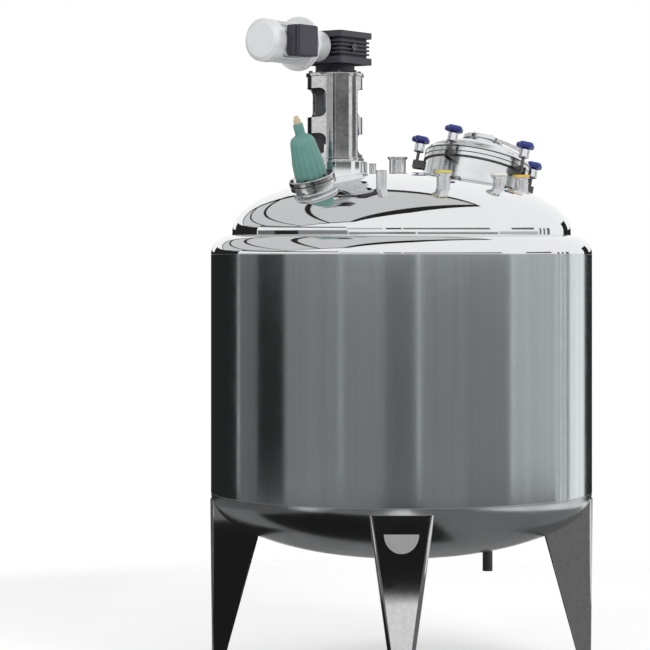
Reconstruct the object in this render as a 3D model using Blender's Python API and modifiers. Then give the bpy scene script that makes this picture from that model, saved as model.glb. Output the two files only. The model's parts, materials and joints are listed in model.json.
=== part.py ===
"""Jacketed mixing vat on four bent-plate legs.

Units are metres and +Z is up. The origin is on the floor, under the tank's axis. The front of the
vat looks along -Y. A double-walled tank stands on the legs. Its domed top carries a gear motor on
a windowed lantern, a lamp on a sight port, six short ports and a clamped manway.
"""
import math

import bmesh
import bpy
from mathutils import Matrix, Vector

GAP = 0.0003                    # clearance between pieces that touch
WELD = 0.0001                   # merge distance of turned profiles

# Outer jacket
JACKET_R = 0.700
JACKET_WALL = 0.003
JACKET_BOTTOM_Z = 0.663         # weld to the outer bottom head
JACKET_TOP_Z = 1.531            # weld to the shoulder
JACKET_DISH = 0.239             # depth of the outer bottom head
SHOULDER_RISE = 0.068

# Inner vessel
VESSEL_R = 0.622
VESSEL_WALL = 0.004
VESSEL_BOTTOM_Z = 0.735         # weld to the inner bottom head
VESSEL_DISH = 0.190             # depth of the inner bottom head
DOME_SPRING_Z = 1.615           # where the top head starts to curve
DOME_RISE = 0.218
DOME_SKIRT = 0.017              # straight part under the dome, down to its weld
HOLE_REACH = 0.090              # how far a hole is cut each way through the dome

# Legs, bent from plate into a channel that is open towards the tank
LEG_COUNT = 4
LEG_FACE_R = 0.697              # outer face, from the tank's axis
LEG_PLATE = 0.005
LEG_TOP_Z = 0.598
LEG_FOOT_WIDTH = 0.052
LEG_TOP_WIDTH = 0.214
LEG_FOOT_DEPTH = 0.037
LEG_TOP_DEPTH = 0.196
LEG_BEND_R = 0.016
FOOT_PLATE = 0.012
FOOT_LENGTH = 0.080
FOOT_WIDTH = 0.090

# Bottom outlet and jacket drain
OUTLET_R = 0.0255
OUTLET_WALL = 0.002
OUTLET_FLANGE_R = 0.032
OUTLET_END_Z = 0.330
DRAIN_X = 0.317
DRAIN_R = 0.0185
DRAIN_WALL = 0.002
DRAIN_END_Z = 0.366
DRAIN_INSIDE = 0.006            # how far the drain's tube stands inside the head

# Agitator drive, off the tank's axis
DRIVE_X = -0.245
PAD_R = 0.120
PAD_TOP_Z = 1.872
PAD_BORE_R = 0.055
LANTERN_R = 0.103
LANTERN_WALL = 0.006
LANTERN_FLANGE_R = 0.108
LANTERN_FLANGE = 0.012
LANTERN_TOP_Z = 2.196
LANTERN_LIP_R = 0.062           # bore of both end flanges
WINDOW_ANGLE = 19.0             # degrees from +X, both windows of a row
WINDOW_WIDTH = 0.166
WINDOW_CORNER = 0.020
WINDOW_ROWS = ((1.897, 1.975), (2.034, 2.140))
SEAL_R = 0.046
SEAL_TOP_Z = 1.955
SEAL_BORE_R = 0.0225
SHAFT_R = 0.020
SHAFT_TOP_Z = 2.060
COUPLING_R = 0.045
COUPLING_TOP_Z = 2.132
OUTPUT_SHAFT_R = 0.0175
NECK_R = 0.072
NECK_BORE_R = 0.030
PADDLE_Z = 0.700                # middle of the paddle's hub
PADDLE_HUB_R = 0.034
PADDLE_HUB_HEIGHT = 0.080
PADDLE_R = 0.200
PADDLE_BLADES = 4
BLADE_WIDTH = 0.060
BLADE_PLATE = 0.006
BLADE_PITCH = 40.0              # degrees

# Worm gearbox and its motor, turned about the drive's axis
GEARBOX_ANGLE = 235.0           # degrees from +X to the motor's axis
GEARBOX_SIDE = 0.200
GEARBOX_BOTTOM_Z = 2.229
BOTTOM_PLATE = 0.024
TOP_PLATE = 0.022
GEARBOX_TOP_Z = 2.347
GEARBOX_CORE = 0.168
RIB_SIDE = 0.188
RIB_COUNT = 4
RIB_THICK = 0.006
MOTOR_Z = 2.291
ADAPTER_END = 0.216             # along the motor's axis, from the drive's axis
ADAPTER_R = 0.062
MOTOR_FLANGE_R = 0.098
MOTOR_FLANGE = 0.013
MOTOR_R = 0.066
MOTOR_FIN_R = 0.075
MOTOR_LENGTH = 0.165
MOTOR_FINS = 24
FAN_COVER_LENGTH = 0.048
FAN_COVER_R = 0.077
BOX_LENGTH = 0.112
BOX_DEPTH = 0.060
BOX_HEIGHT = 0.110

# Sight port and lamp, square to the dome
LAMP_XY = (-0.309, -0.329)
LAMP_PORT_R = 0.070
LAMP_PORT_WALL = 0.004
LAMP_RING_R = 0.083
LAMP_RING_LOW = (0.010, 0.026)
LAMP_RING_HIGH = (0.029, 0.047)
LAMP_RING_BORE_R = 0.050
LAMP_BODY_LENGTH = 0.150
LAMP_STUB_R = 0.018
LAMP_STUB_LENGTH = 0.045
LAMP_RIBS = 18
LAMP_RIB_DEPTH = 0.0035
LAMP_ROWS = 7
GLAND_R = 0.013
GLAND_LENGTH = 0.026

# Upright ports: x, y, tube radius, flange radius, top height, cap thickness
PORTS = {
    "port_front_left": (-0.070, -0.450, 0.0190, 0.0200, 1.826, 0.0),
    "port_middle": (-0.015, 0.200, 0.0315, 0.0385, 1.898, 0.0),
    "port_small": (-0.108, 0.150, 0.0130, 0.0140, 1.872, 0.0),
    "port_front": (0.147, -0.430, 0.0240, 0.0300, 1.816, 0.009),
    "port_right": (0.348, -0.270, 0.0205, 0.0290, 1.812, 0.009),
    "port_far_right": (0.437, -0.080, 0.0255, 0.0300, 1.812, 0.009),
}
PORT_WALL = 0.002
PORT_FLANGE = 0.004
PORT_DEPTH = 0.020              # how far a port's tube runs under the dome's surface
CAP_LIP = 0.0015                # how much wider than its flange a cap is

# Manway, square to the dome. Heights are above the dome, along the manway's own axis.
MANWAY_XY = (0.272, 0.294)
MANWAY_R = 0.200
MANWAY_WALL = 0.003
MANWAY_DEPTH = 0.052            # how far the neck runs under the tangent plane
RIM_R = 0.206
RIM_BORE_R = 0.187
RIM_LOW = 0.070
RIM_PLANE = 0.086
GASKET = 0.0022
COVER_RIM = 0.024
COVER_WALL = 0.004
COVER_RISE = 0.060
COVER_DISH_R = 0.198
SIGHT_NECK_R = 0.066
SIGHT_NECK_RISE = 0.012
SIGHT_RING_R = 0.076
SIGHT_RING = 0.015
SIGHT_GLASS_R = 0.050
SIGHT_RECESS = 0.005
HANDLE_SPAN = 0.080
HANDLE_RISE = 0.046
HANDLE_BAR_R = 0.006
HANDLE_XY = (0.112, -0.078)
CLAMP_ANGLES = (170.8, -117.2, -45.2, 26.8)
CLAMP_R = 0.235                 # bolt circle
CLAMP_PIVOT = 0.062
CLAMP_EYE_R = 0.011
CLAMP_EYE_WIDTH = 0.013
CLAMP_PIN_R = 0.006
CLAMP_ROD_R = 0.006
SLEEVE_R = 0.0195
SLEEVE_LOW = 0.112
SLEEVE_HIGH = 0.142
KNOB_TOP = 0.171
KNOB_HEAD = 0.023
KNOB_LOBE_R = 0.036
KNOB_NOTCH_R = 0.028
KNOB_NECK_R = 0.017
EAR_PLATE = 0.006
EAR_GAP = 0.001                 # side play between an eye or knuckle and its ears
LUG_LOW = 0.046
LUG_HIGH = 0.076
LUG_END_R = 0.247
HINGE_ANGLE = 98.8
HINGE_R = 0.238
HINGE_HEIGHT = 0.098
HINGE_PIN_R = 0.007
HINGE_WIDTH = 0.034
KNUCKLE_R = 0.014
PIN_PLAY = 0.0004

# Facets around each kind of turned piece
TANK_STEPS = 48
DRIVE_STEPS = 24
MANWAY_STEPS = 32
PORT_STEPS = 16
SMALL_STEPS = 12
ARC_POINTS = 6

FINISHES = {
    "polished_steel": ((0.72, 0.73, 0.74), 0.12, 1.0),
    "brushed_steel": ((0.55, 0.56, 0.57), 0.30, 1.0),
    "leg_steel": ((0.36, 0.36, 0.37), 0.42, 1.0),
    "gearbox_paint": ((0.09, 0.085, 0.105), 0.45, 0.2),
    "motor_alloy": ((0.70, 0.71, 0.72), 0.38, 0.9),
    "lamp_paint": ((0.16, 0.30, 0.27), 0.40, 0.0),
    "gland_plastic": ((0.60, 0.50, 0.36), 0.50, 0.0),
    "knob_plastic": ((0.03, 0.05, 0.30), 0.35, 0.0),
    "yellow_cap": ((0.75, 0.58, 0.06), 0.45, 0.0),
    "white_cap": ((0.80, 0.80, 0.78), 0.45, 0.0),
    "black_rubber": ((0.03, 0.03, 0.03), 0.60, 0.0),
    "sight_glass": ((0.20, 0.24, 0.23), 0.05, 0.0),
}


def clear_scene():
    for obj in list(bpy.data.objects):
        bpy.data.objects.remove(obj, do_unlink=True)


def collection(name):
    group = bpy.data.collections.new(name)
    bpy.context.scene.collection.children.link(group)
    return group


def material(name):
    found = bpy.data.materials.get(name)
    if found:
        return found
    colour, roughness, metallic = FINISHES[name]
    made = bpy.data.materials.new(name)
    made.use_nodes = True
    shader = made.node_tree.nodes["Principled BSDF"]
    shader.inputs["Base Color"].default_value = (*colour, 1.0)
    shader.inputs["Roughness"].default_value = roughness
    shader.inputs["Metallic"].default_value = metallic
    return made


def add_object(name, bm, finish=None, place=None):
    """A mesh object of the vat, or a cutter where it has no finish."""
    bmesh.ops.recalc_face_normals(bm, faces=bm.faces)
    mesh = bpy.data.meshes.new(name)
    bm.to_mesh(mesh)
    bm.free()
    obj = bpy.data.objects.new(name, mesh)
    finish_object(obj, finish, place)
    return obj


def finish_object(obj, finish, place):
    if place is not None:
        obj.matrix_world = place
    if finish:
        obj.data.materials.append(material(finish))
        obj.data.shade_smooth()
        bpy.data.collections["mixing_vat"].objects.link(obj)
    else:
        obj.hide_render = True
        obj.display_type = "WIRE"
        bpy.data.collections["cutters"].objects.link(obj)


def turned(name, profile, steps, finish=None, place=None):
    """A profile of (radius, height) pairs turned about Z: down its outer side, then up its inner side.

    A profile that starts and ends on the axis is a solid, and any other is closed into a ring.
    """
    bm = bmesh.new()
    points = [bm.verts.new((radius, 0.0, height)) for radius, height in profile]
    for first, second in zip(points, points[1:]):
        bm.edges.new((first, second))
    if profile[0][0] > 0.0:
        bm.edges.new((points[-1], points[0]))
    mesh = bpy.data.meshes.new(name)
    bm.to_mesh(mesh)
    bm.free()
    obj = bpy.data.objects.new(name, mesh)
    screw = obj.modifiers.new("turn", "SCREW")
    screw.steps = steps
    screw.render_steps = steps
    screw.use_merge_vertices = True
    screw.merge_threshold = WELD
    finish_object(obj, finish, place)
    return obj


def boolean(obj, tool, operation="DIFFERENCE"):
    step = obj.modifiers.new(operation.lower(), "BOOLEAN")
    step.operation = operation
    step.solver = "EXACT"
    step.object = tool


def prism(name, outline, low, high, finish=None, place=None):
    """A flat outline in XY, raised from one height to another."""
    bm = bmesh.new()
    base = bm.faces.new([bm.verts.new((x, y, low)) for x, y in outline])
    raised = bmesh.ops.extrude_face_region(bm, geom=[base])
    top = [item for item in raised["geom"] if isinstance(item, bmesh.types.BMVert)]
    bmesh.ops.translate(bm, vec=(0.0, 0.0, high - low), verts=top)
    return add_object(name, bm, finish, place)


def block(name, size, centre, finish=None, place=None, bevel=0.0, segments=1):
    bm = bmesh.new()
    bmesh.ops.create_cube(bm, size=1.0)
    bmesh.ops.scale(bm, vec=size, verts=bm.verts)
    bmesh.ops.translate(bm, vec=centre, verts=bm.verts)
    if bevel:
        bmesh.ops.bevel(bm, geom=bm.edges, offset=bevel, segments=segments, affect="EDGES")
    return add_object(name, bm, finish, place)


def rounded_rectangle(width, height, radius, points=4):
    outline = []
    corners = ((1, 1, 0), (-1, 1, 90), (-1, -1, 180), (1, -1, 270))
    for side_x, side_y, start in corners:
        for step in range(points):
            angle = math.radians(start + 90 * step / (points - 1))
            outline.append((side_x * (width / 2 - radius) + radius * math.cos(angle),
                            side_y * (height / 2 - radius) + radius * math.sin(angle)))
    return outline


def rod(name, radius, start, end, steps=SMALL_STEPS, finish=None, place=None):
    """A round bar from one point to another."""
    start, end = Vector(start), Vector(end)
    bm = bmesh.new()
    bmesh.ops.create_cone(bm, cap_ends=True, segments=steps, radius1=radius, radius2=radius,
                          depth=(end - start).length)
    turn = (end - start).to_track_quat("Z", "Y").to_matrix().to_4x4()
    bmesh.ops.transform(bm, matrix=Matrix.Translation((start + end) / 2) @ turn, verts=bm.verts)
    return add_object(name, bm, finish, place)


def around(radius, steps):
    """The radius of a faceted hole whose flats clear a round piece of this radius."""
    return (radius + GAP) / math.cos(math.pi / steps)


def ellipse_arc(radius, rise, base_z, start, end, points):
    """Points (r, z) on an ellipse; the angle is 0 at its widest place and 90 at its top or bottom."""
    arc = []
    for step in range(points):
        angle = math.radians(start + (end - start) * step / (points - 1))
        arc.append((max(radius * math.cos(angle), 0.0), base_z + rise * math.sin(angle)))
    return arc


def dome_height(radius):
    return DOME_SPRING_Z + DOME_RISE * math.sqrt(1.0 - (radius / VESSEL_R) ** 2)


def dish_height(radius):
    """The height of the outer bottom head's outer surface."""
    return JACKET_BOTTOM_Z - JACKET_DISH * math.sqrt(1.0 - (radius / JACKET_R) ** 2)


def dome_frame(x, y):
    """The frame that stands square on the dome at (x, y), with its X to the vat's right."""
    z = dome_height(math.hypot(x, y))
    up = Vector((x / VESSEL_R ** 2, y / VESSEL_R ** 2, (z - DOME_SPRING_Z) / DOME_RISE ** 2)).normalized()
    right = (Vector((1.0, 0.0, 0.0)) - up.x * up).normalized()
    back = up.cross(right)
    turn = Matrix((right, back, up)).transposed().to_4x4()
    return Matrix.Translation((x, y, z)) @ turn


def about_z(angle):
    return Matrix.Rotation(math.radians(angle), 4, "Z")


def dome_arc(offset, start, end):
    return ellipse_arc(VESSEL_R + offset, DOME_RISE + offset, DOME_SPRING_Z, start, end, ARC_POINTS + 2)


def jacket_arc(offset, start, end):
    return ellipse_arc(JACKET_R + offset, -(JACKET_DISH + offset), JACKET_BOTTOM_Z, start, end,
                       ARC_POINTS + 1)


def dome_cutter():
    """Everything under the dome's outer surface, with the clearance added."""
    low = DOME_SPRING_Z - 0.10
    profile = dome_arc(GAP, 90, 0) + [(VESSEL_R + GAP, low), (0.0, low)]
    return turned("dome_cutter", profile, TANK_STEPS)


def jacket_dish_cutter():
    """Everything over the outer bottom head's surface, with the clearance added."""
    high = JACKET_BOTTOM_Z + 0.05
    profile = [(0.0, high), (JACKET_R + GAP, high)] + jacket_arc(GAP, 0, 90)
    return turned("jacket_dish_cutter", profile, TANK_STEPS)


def build_jacket():
    inner = JACKET_R - JACKET_WALL
    turned("outer_shell", [(JACKET_R, JACKET_TOP_Z), (JACKET_R, JACKET_BOTTOM_Z + GAP),
                           (inner, JACKET_BOTTOM_Z + GAP), (inner, JACKET_TOP_Z)],
           TANK_STEPS, "brushed_steel")
    span = JACKET_R - VESSEL_R - GAP
    low = JACKET_TOP_Z + GAP
    outside = [(VESSEL_R + GAP + r, z) for r, z in ellipse_arc(span, SHOULDER_RISE, low, 90, 0, ARC_POINTS)]
    inside = [(VESSEL_R + GAP + r, z)
              for r, z in ellipse_arc(span - JACKET_WALL, SHOULDER_RISE - JACKET_WALL, low, 0, 90, ARC_POINTS)]
    turned("shoulder_ring", outside + inside, TANK_STEPS, "polished_steel")
    head = turned("outer_bottom_head", jacket_arc(0.0, 0, 90) + jacket_arc(-JACKET_WALL, 90, 0),
                  TANK_STEPS, "brushed_steel")
    boolean(head, rod("outlet_hole", OUTLET_R + GAP, (0, 0, OUTLET_END_Z), (0, 0, JACKET_BOTTOM_Z), PORT_STEPS))
    boolean(head, rod("drain_hole", DRAIN_R + GAP, (DRAIN_X, 0, DRAIN_END_Z),
                      (DRAIN_X, 0, JACKET_BOTTOM_Z), PORT_STEPS))


def build_vessel():
    inner = VESSEL_R - VESSEL_WALL
    seam = DOME_SPRING_Z - DOME_SKIRT
    turned("inner_shell", [(VESSEL_R, seam - GAP), (VESSEL_R, VESSEL_BOTTOM_Z + GAP),
                           (inner, VESSEL_BOTTOM_Z + GAP), (inner, seam - GAP)], TANK_STEPS, "brushed_steel")
    outside = ellipse_arc(VESSEL_R, -VESSEL_DISH, VESSEL_BOTTOM_Z, 0, 90, ARC_POINTS)
    inside = ellipse_arc(inner, VESSEL_WALL - VESSEL_DISH, VESSEL_BOTTOM_Z, 90, 0, ARC_POINTS)
    head = turned("inner_bottom_head", outside + inside, TANK_STEPS, "brushed_steel")
    outlet_bore = OUTLET_R - OUTLET_WALL
    boolean(head, rod("outlet_bore", outlet_bore, (0, 0, JACKET_BOTTOM_Z - JACKET_DISH),
                      (0, 0, VESSEL_BOTTOM_Z), PORT_STEPS))
    profile = dome_arc(0.0, 90, 0) + [(VESSEL_R, seam), (inner, seam)] + dome_arc(-VESSEL_WALL, 0, 90)
    dome = turned("top_head", profile, TANK_STEPS, "polished_steel")
    boolean(dome, rod("drive_hole", PAD_BORE_R, (DRIVE_X, 0, DOME_SPRING_Z), (DRIVE_X, 0, PAD_TOP_Z)))
    for name, (x, y, radius, _flange, top, _cap) in PORTS.items():
        boolean(dome, rod(name + "_hole", radius + GAP, (x, y, DOME_SPRING_Z), (x, y, top), PORT_STEPS))
    low, high = (0, 0, -HOLE_REACH), (0, 0, HOLE_REACH)
    boolean(dome, rod("lamp_hole", LAMP_PORT_R + GAP, low, high, DRIVE_STEPS, place=dome_frame(*LAMP_XY)))
    boolean(dome, rod("manway_hole", MANWAY_R + GAP, low, high, MANWAY_STEPS, place=dome_frame(*MANWAY_XY)))


def leg_section(height):
    """The channel's outside at one height: wing, bend, face, bend, wing."""
    share = (height - FOOT_PLATE) / (LEG_TOP_Z - FOOT_PLATE)
    half = (LEG_FOOT_WIDTH + (LEG_TOP_WIDTH - LEG_FOOT_WIDTH) * share) / 2
    depth = LEG_FOOT_DEPTH + (LEG_TOP_DEPTH - LEG_FOOT_DEPTH) * share
    side = [(LEG_FACE_R - depth, half)]
    for step in range(5):
        angle = math.radians(90 - 90 * step / 4)
        side.append((LEG_FACE_R - LEG_BEND_R * (1 - math.cos(angle)),
                     half - LEG_BEND_R * (1 - math.sin(angle))))
    return side + [(x, -y) for x, y in reversed(side)]


def build_legs(dish):
    names = ("leg_right", "leg_back", "leg_left", "leg_front")
    foot_x = LEG_FACE_R - FOOT_LENGTH / 2 + 0.002
    for index in range(LEG_COUNT):
        place = about_z(index * 360 / LEG_COUNT)
        bm = bmesh.new()
        rows = []
        for height in (FOOT_PLATE - 0.002, LEG_TOP_Z):
            rows.append([bm.verts.new((x, y, height)) for x, y in leg_section(height)])
        for column in range(len(rows[0]) - 1):
            bm.faces.new((rows[0][column + 1], rows[0][column], rows[1][column], rows[1][column + 1]))
        mesh = bpy.data.meshes.new(names[index])
        bm.to_mesh(mesh)
        bm.free()
        leg = bpy.data.objects.new(names[index], mesh)
        plate = leg.modifiers.new("plate", "SOLIDIFY")
        plate.thickness = LEG_PLATE
        plate.offset = -1.0
        plate.use_even_offset = True
        finish_object(leg, "leg_steel", place)
        foot = block(names[index] + "_foot", (FOOT_LENGTH, FOOT_WIDTH, FOOT_PLATE),
                     (foot_x, 0.0, FOOT_PLATE / 2), place=place)
        boolean(leg, foot, "UNION")
        boolean(leg, dish)


def build_outlets():
    bore = OUTLET_R - OUTLET_WALL
    top = VESSEL_BOTTOM_Z - VESSEL_DISH - GAP
    turned("bottom_outlet", [(OUTLET_R, top), (OUTLET_R, OUTLET_END_Z + 0.008),
                             (OUTLET_FLANGE_R, OUTLET_END_Z + 0.005), (OUTLET_FLANGE_R, OUTLET_END_Z),
                             (bore, OUTLET_END_Z), (bore, top)], PORT_STEPS, "polished_steel")
    drain_top = dish_height(DRAIN_X + DRAIN_R) + DRAIN_INSIDE
    turned("jacket_drain", [(DRAIN_R, drain_top), (DRAIN_R, DRAIN_END_Z), (DRAIN_R - DRAIN_WALL, DRAIN_END_Z),
                            (DRAIN_R - DRAIN_WALL, drain_top)], PORT_STEPS, "brushed_steel",
           Matrix.Translation((DRAIN_X, 0, 0)))


def build_ports():
    for name, (x, y, radius, flange, top, cap) in PORTS.items():
        low = dome_height(math.hypot(x, y)) - PORT_DEPTH
        bore = radius - PORT_WALL
        roof = top - PORT_FLANGE
        profile = [(0.0, top), (flange, top), (flange, roof), (radius, roof - (flange - radius)),
                   (radius, low), (bore, low), (bore, roof - PORT_WALL), (0.0, roof - PORT_WALL)]
        place = Matrix.Translation((x, y, 0))
        turned(name, profile, PORT_STEPS, "polished_steel", place)
        if cap:
            finish = "white_cap" if name == "port_right" else "yellow_cap"
            wide = flange + CAP_LIP
            turned(name + "_cap", [(0.0, top + GAP + cap), (wide - 0.002, top + GAP + cap),
                                   (wide, top + GAP + cap - 0.002), (wide, top + GAP), (0.0, top + GAP)],
                   PORT_STEPS, finish, place)


def build_drive_stand(dome):
    drive = Matrix.Translation((DRIVE_X, 0, 0))
    pad = turned("agitator_pad", [(PAD_R - 0.004, PAD_TOP_Z), (PAD_R, PAD_TOP_Z - 0.004),
                                  (PAD_R, DOME_SPRING_Z), (PAD_BORE_R, DOME_SPRING_Z), (PAD_BORE_R, PAD_TOP_Z)],
                 DRIVE_STEPS, "polished_steel", drive)
    boolean(pad, dome)
    low = PAD_TOP_Z + GAP
    wall = LANTERN_R - LANTERN_WALL
    lantern = turned("lantern", [(LANTERN_FLANGE_R, LANTERN_TOP_Z),
                                 (LANTERN_FLANGE_R, LANTERN_TOP_Z - LANTERN_FLANGE),
                                 (LANTERN_R, LANTERN_TOP_Z - LANTERN_FLANGE), (LANTERN_R, low + LANTERN_FLANGE),
                                 (LANTERN_FLANGE_R, low + LANTERN_FLANGE), (LANTERN_FLANGE_R, low),
                                 (LANTERN_LIP_R, low), (LANTERN_LIP_R, low + LANTERN_FLANGE),
                                 (wall, low + LANTERN_FLANGE), (wall, LANTERN_TOP_Z - LANTERN_FLANGE),
                                 (LANTERN_LIP_R, LANTERN_TOP_Z - LANTERN_FLANGE), (LANTERN_LIP_R, LANTERN_TOP_Z)],
                     DRIVE_STEPS, "polished_steel", drive)
    across = Matrix.Rotation(math.radians(90), 4, "Y") @ about_z(90)
    for row, (bottom, top) in enumerate(WINDOW_ROWS):
        outline = rounded_rectangle(WINDOW_WIDTH, top - bottom, WINDOW_CORNER)
        place = Matrix.Translation((DRIVE_X, 0, (bottom + top) / 2)) @ about_z(WINDOW_ANGLE) @ across
        boolean(lantern, prism(f"window_row_{row}", outline, -LANTERN_FLANGE_R - 0.02,
                               LANTERN_FLANGE_R + 0.02, place=place))
    foot_r = LANTERN_LIP_R - GAP
    turned("shaft_seal", [(SEAL_R - 0.012, SEAL_TOP_Z), (SEAL_R, SEAL_TOP_Z - 0.020), (SEAL_R, low + LANTERN_FLANGE),
                          (foot_r, low + LANTERN_FLANGE), (foot_r, low), (SEAL_BORE_R, low),
                          (SEAL_BORE_R, SEAL_TOP_Z)], DRIVE_STEPS, "polished_steel", drive)
    turned("gearbox_neck", [(NECK_R, GEARBOX_BOTTOM_Z - GAP), (NECK_R, LANTERN_TOP_Z + GAP + 0.006),
                            (NECK_R + 0.006, LANTERN_TOP_Z + GAP), (NECK_BORE_R, LANTERN_TOP_Z + GAP),
                            (NECK_BORE_R, GEARBOX_BOTTOM_Z - GAP)], DRIVE_STEPS, "gearbox_paint", drive)


def build_agitator():
    drive = Matrix.Translation((DRIVE_X, 0, 0))
    hub_top = PADDLE_Z + PADDLE_HUB_HEIGHT / 2
    turned("agitator_shaft", [(0.0, SHAFT_TOP_Z), (SHAFT_R, SHAFT_TOP_Z), (SHAFT_R, hub_top + GAP),
                              (0.0, hub_top + GAP)], PORT_STEPS, "polished_steel", drive)
    low = SHAFT_TOP_Z + GAP
    middle = (low + COUPLING_TOP_Z) / 2
    groove = 0.003
    turned("shaft_coupling", [(0.0, GEARBOX_BOTTOM_Z - GAP), (OUTPUT_SHAFT_R, GEARBOX_BOTTOM_Z - GAP),
                              (OUTPUT_SHAFT_R, COUPLING_TOP_Z), (COUPLING_R - groove, COUPLING_TOP_Z),
                              (COUPLING_R, COUPLING_TOP_Z - groove), (COUPLING_R, middle + groove),
                              (COUPLING_R - groove, middle), (COUPLING_R, middle - groove),
                              (COUPLING_R, low + groove), (COUPLING_R - groove, low), (0.0, low)],
           PORT_STEPS, "brushed_steel", drive)
    hub_low = PADDLE_Z - PADDLE_HUB_HEIGHT / 2
    hub = turned("paddle", [(0.0, hub_top), (PADDLE_HUB_R, hub_top), (PADDLE_HUB_R, hub_low + 0.012),
                            (0.0, hub_low)], PORT_STEPS, "brushed_steel", drive)
    for index in range(PADDLE_BLADES):
        reach = PADDLE_R - PADDLE_HUB_R / 2
        pitched = Matrix.Translation((0, 0, PADDLE_Z)) @ about_z(index * 360 / PADDLE_BLADES + 45)
        pitched = drive @ pitched @ Matrix.Rotation(math.radians(BLADE_PITCH), 4, "X")
        blade = block(f"blade_{index}", (reach, BLADE_PLATE, BLADE_WIDTH),
                      (PADDLE_HUB_R / 2 + reach / 2, 0, 0), place=pitched)
        boolean(hub, blade, "UNION")


def build_gearbox():
    centre = Matrix.Translation((DRIVE_X, 0, 0)) @ about_z(GEARBOX_ANGLE)
    rib_low = GEARBOX_BOTTOM_Z + BOTTOM_PLATE
    rib_high = GEARBOX_TOP_Z - TOP_PLATE
    height = GEARBOX_TOP_Z - GEARBOX_BOTTOM_Z
    core = block("gearbox", (GEARBOX_CORE, GEARBOX_CORE, height - 0.01),
                 (0, 0, GEARBOX_BOTTOM_Z + height / 2), "gearbox_paint", centre)
    corner = 0.012
    plates = (("bottom_plate", GEARBOX_BOTTOM_Z, rib_low), ("top_plate", rib_high, GEARBOX_TOP_Z))
    for name, low, high in plates:
        outline = rounded_rectangle(GEARBOX_SIDE, GEARBOX_SIDE, corner, 3)
        boolean(core, prism(name, outline, low, high, place=centre), "UNION")
    pitch = (rib_high - rib_low) / (RIB_COUNT + 1)
    for index in range(RIB_COUNT):
        middle = rib_low + pitch * (index + 1)
        outline = rounded_rectangle(RIB_SIDE, RIB_SIDE, corner, 3)
        rib = prism(f"rib_{index}", outline, middle - RIB_THICK / 2, middle + RIB_THICK / 2, place=centre)
        boolean(core, rib, "UNION")


def build_motor():
    along = Matrix.Translation((DRIVE_X, 0, MOTOR_Z)) @ about_z(GEARBOX_ANGLE)
    axis = along @ Matrix.Rotation(math.radians(90), 4, "Y")
    start = GEARBOX_SIDE / 2 + GAP
    adapter = [(0.0, ADAPTER_END + MOTOR_FLANGE), (MOTOR_FLANGE_R, ADAPTER_END + MOTOR_FLANGE),
               (MOTOR_FLANGE_R, ADAPTER_END), (MOTOR_R + 0.004, ADAPTER_END), (ADAPTER_R - 0.006, start + 0.04),
               (ADAPTER_R - 0.006, start), (0.0, start)]
    turned("motor_adapter", adapter, DRIVE_STEPS, "motor_alloy", axis)
    low = ADAPTER_END + MOTOR_FLANGE + GAP
    high = low + MOTOR_LENGTH
    profile = [(0.0, high), (MOTOR_R, high), (MOTOR_R, low + 0.012), (MOTOR_FLANGE_R - 0.006, low + 0.010),
               (MOTOR_FLANGE_R - 0.006, low), (0.0, low)]
    body = turned("motor_body", profile, MOTOR_FINS * 2, "motor_alloy", axis)
    fin_low = low + 0.018
    outline = []
    for index in range(MOTOR_FINS):
        for share, radius in ((0.0, MOTOR_R - 0.002), (0.30, MOTOR_FIN_R), (0.55, MOTOR_FIN_R),
                              (0.85, MOTOR_R - 0.002)):
            angle = 2 * math.pi * (index + share) / MOTOR_FINS
            outline.append((radius * math.cos(angle), radius * math.sin(angle)))
    boolean(body, prism("motor_fins", outline, fin_low, high - 0.006, place=axis), "UNION")
    box_low = low + 0.034
    box_in = MOTOR_R - 0.004
    box = block("terminal_box", (BOX_LENGTH, BOX_DEPTH, BOX_HEIGHT),
                (box_low + BOX_LENGTH / 2, box_in + BOX_DEPTH / 2, 0), "gearbox_paint", along, 0.004)
    seat_r = around(MOTOR_FIN_R, DRIVE_STEPS)
    boolean(box, rod("box_seat", seat_r, (0, 0, 0), (0, 0, high), DRIVE_STEPS, place=axis))
    cover_low = high + GAP
    cover_high = cover_low + FAN_COVER_LENGTH
    turned("fan_cover", [(0.0, cover_high), (FAN_COVER_R - 0.014, cover_high), (FAN_COVER_R, cover_high - 0.010),
                         (FAN_COVER_R, cover_low), (0.0, cover_low)], DRIVE_STEPS, "motor_alloy", axis)


def lamp_radius(height):
    """The lamp housing's radius at a share of its length."""
    shape = ((0.0, 0.058), (0.10, 0.060), (0.48, 0.0625), (0.70, 0.057), (0.83, 0.051), (0.93, 0.041), (1.0, 0.030))
    for (low, first), (high, second) in zip(shape, shape[1:]):
        if height <= high:
            return first + (second - first) * (height - low) / (high - low)
    return shape[-1][1]


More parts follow.
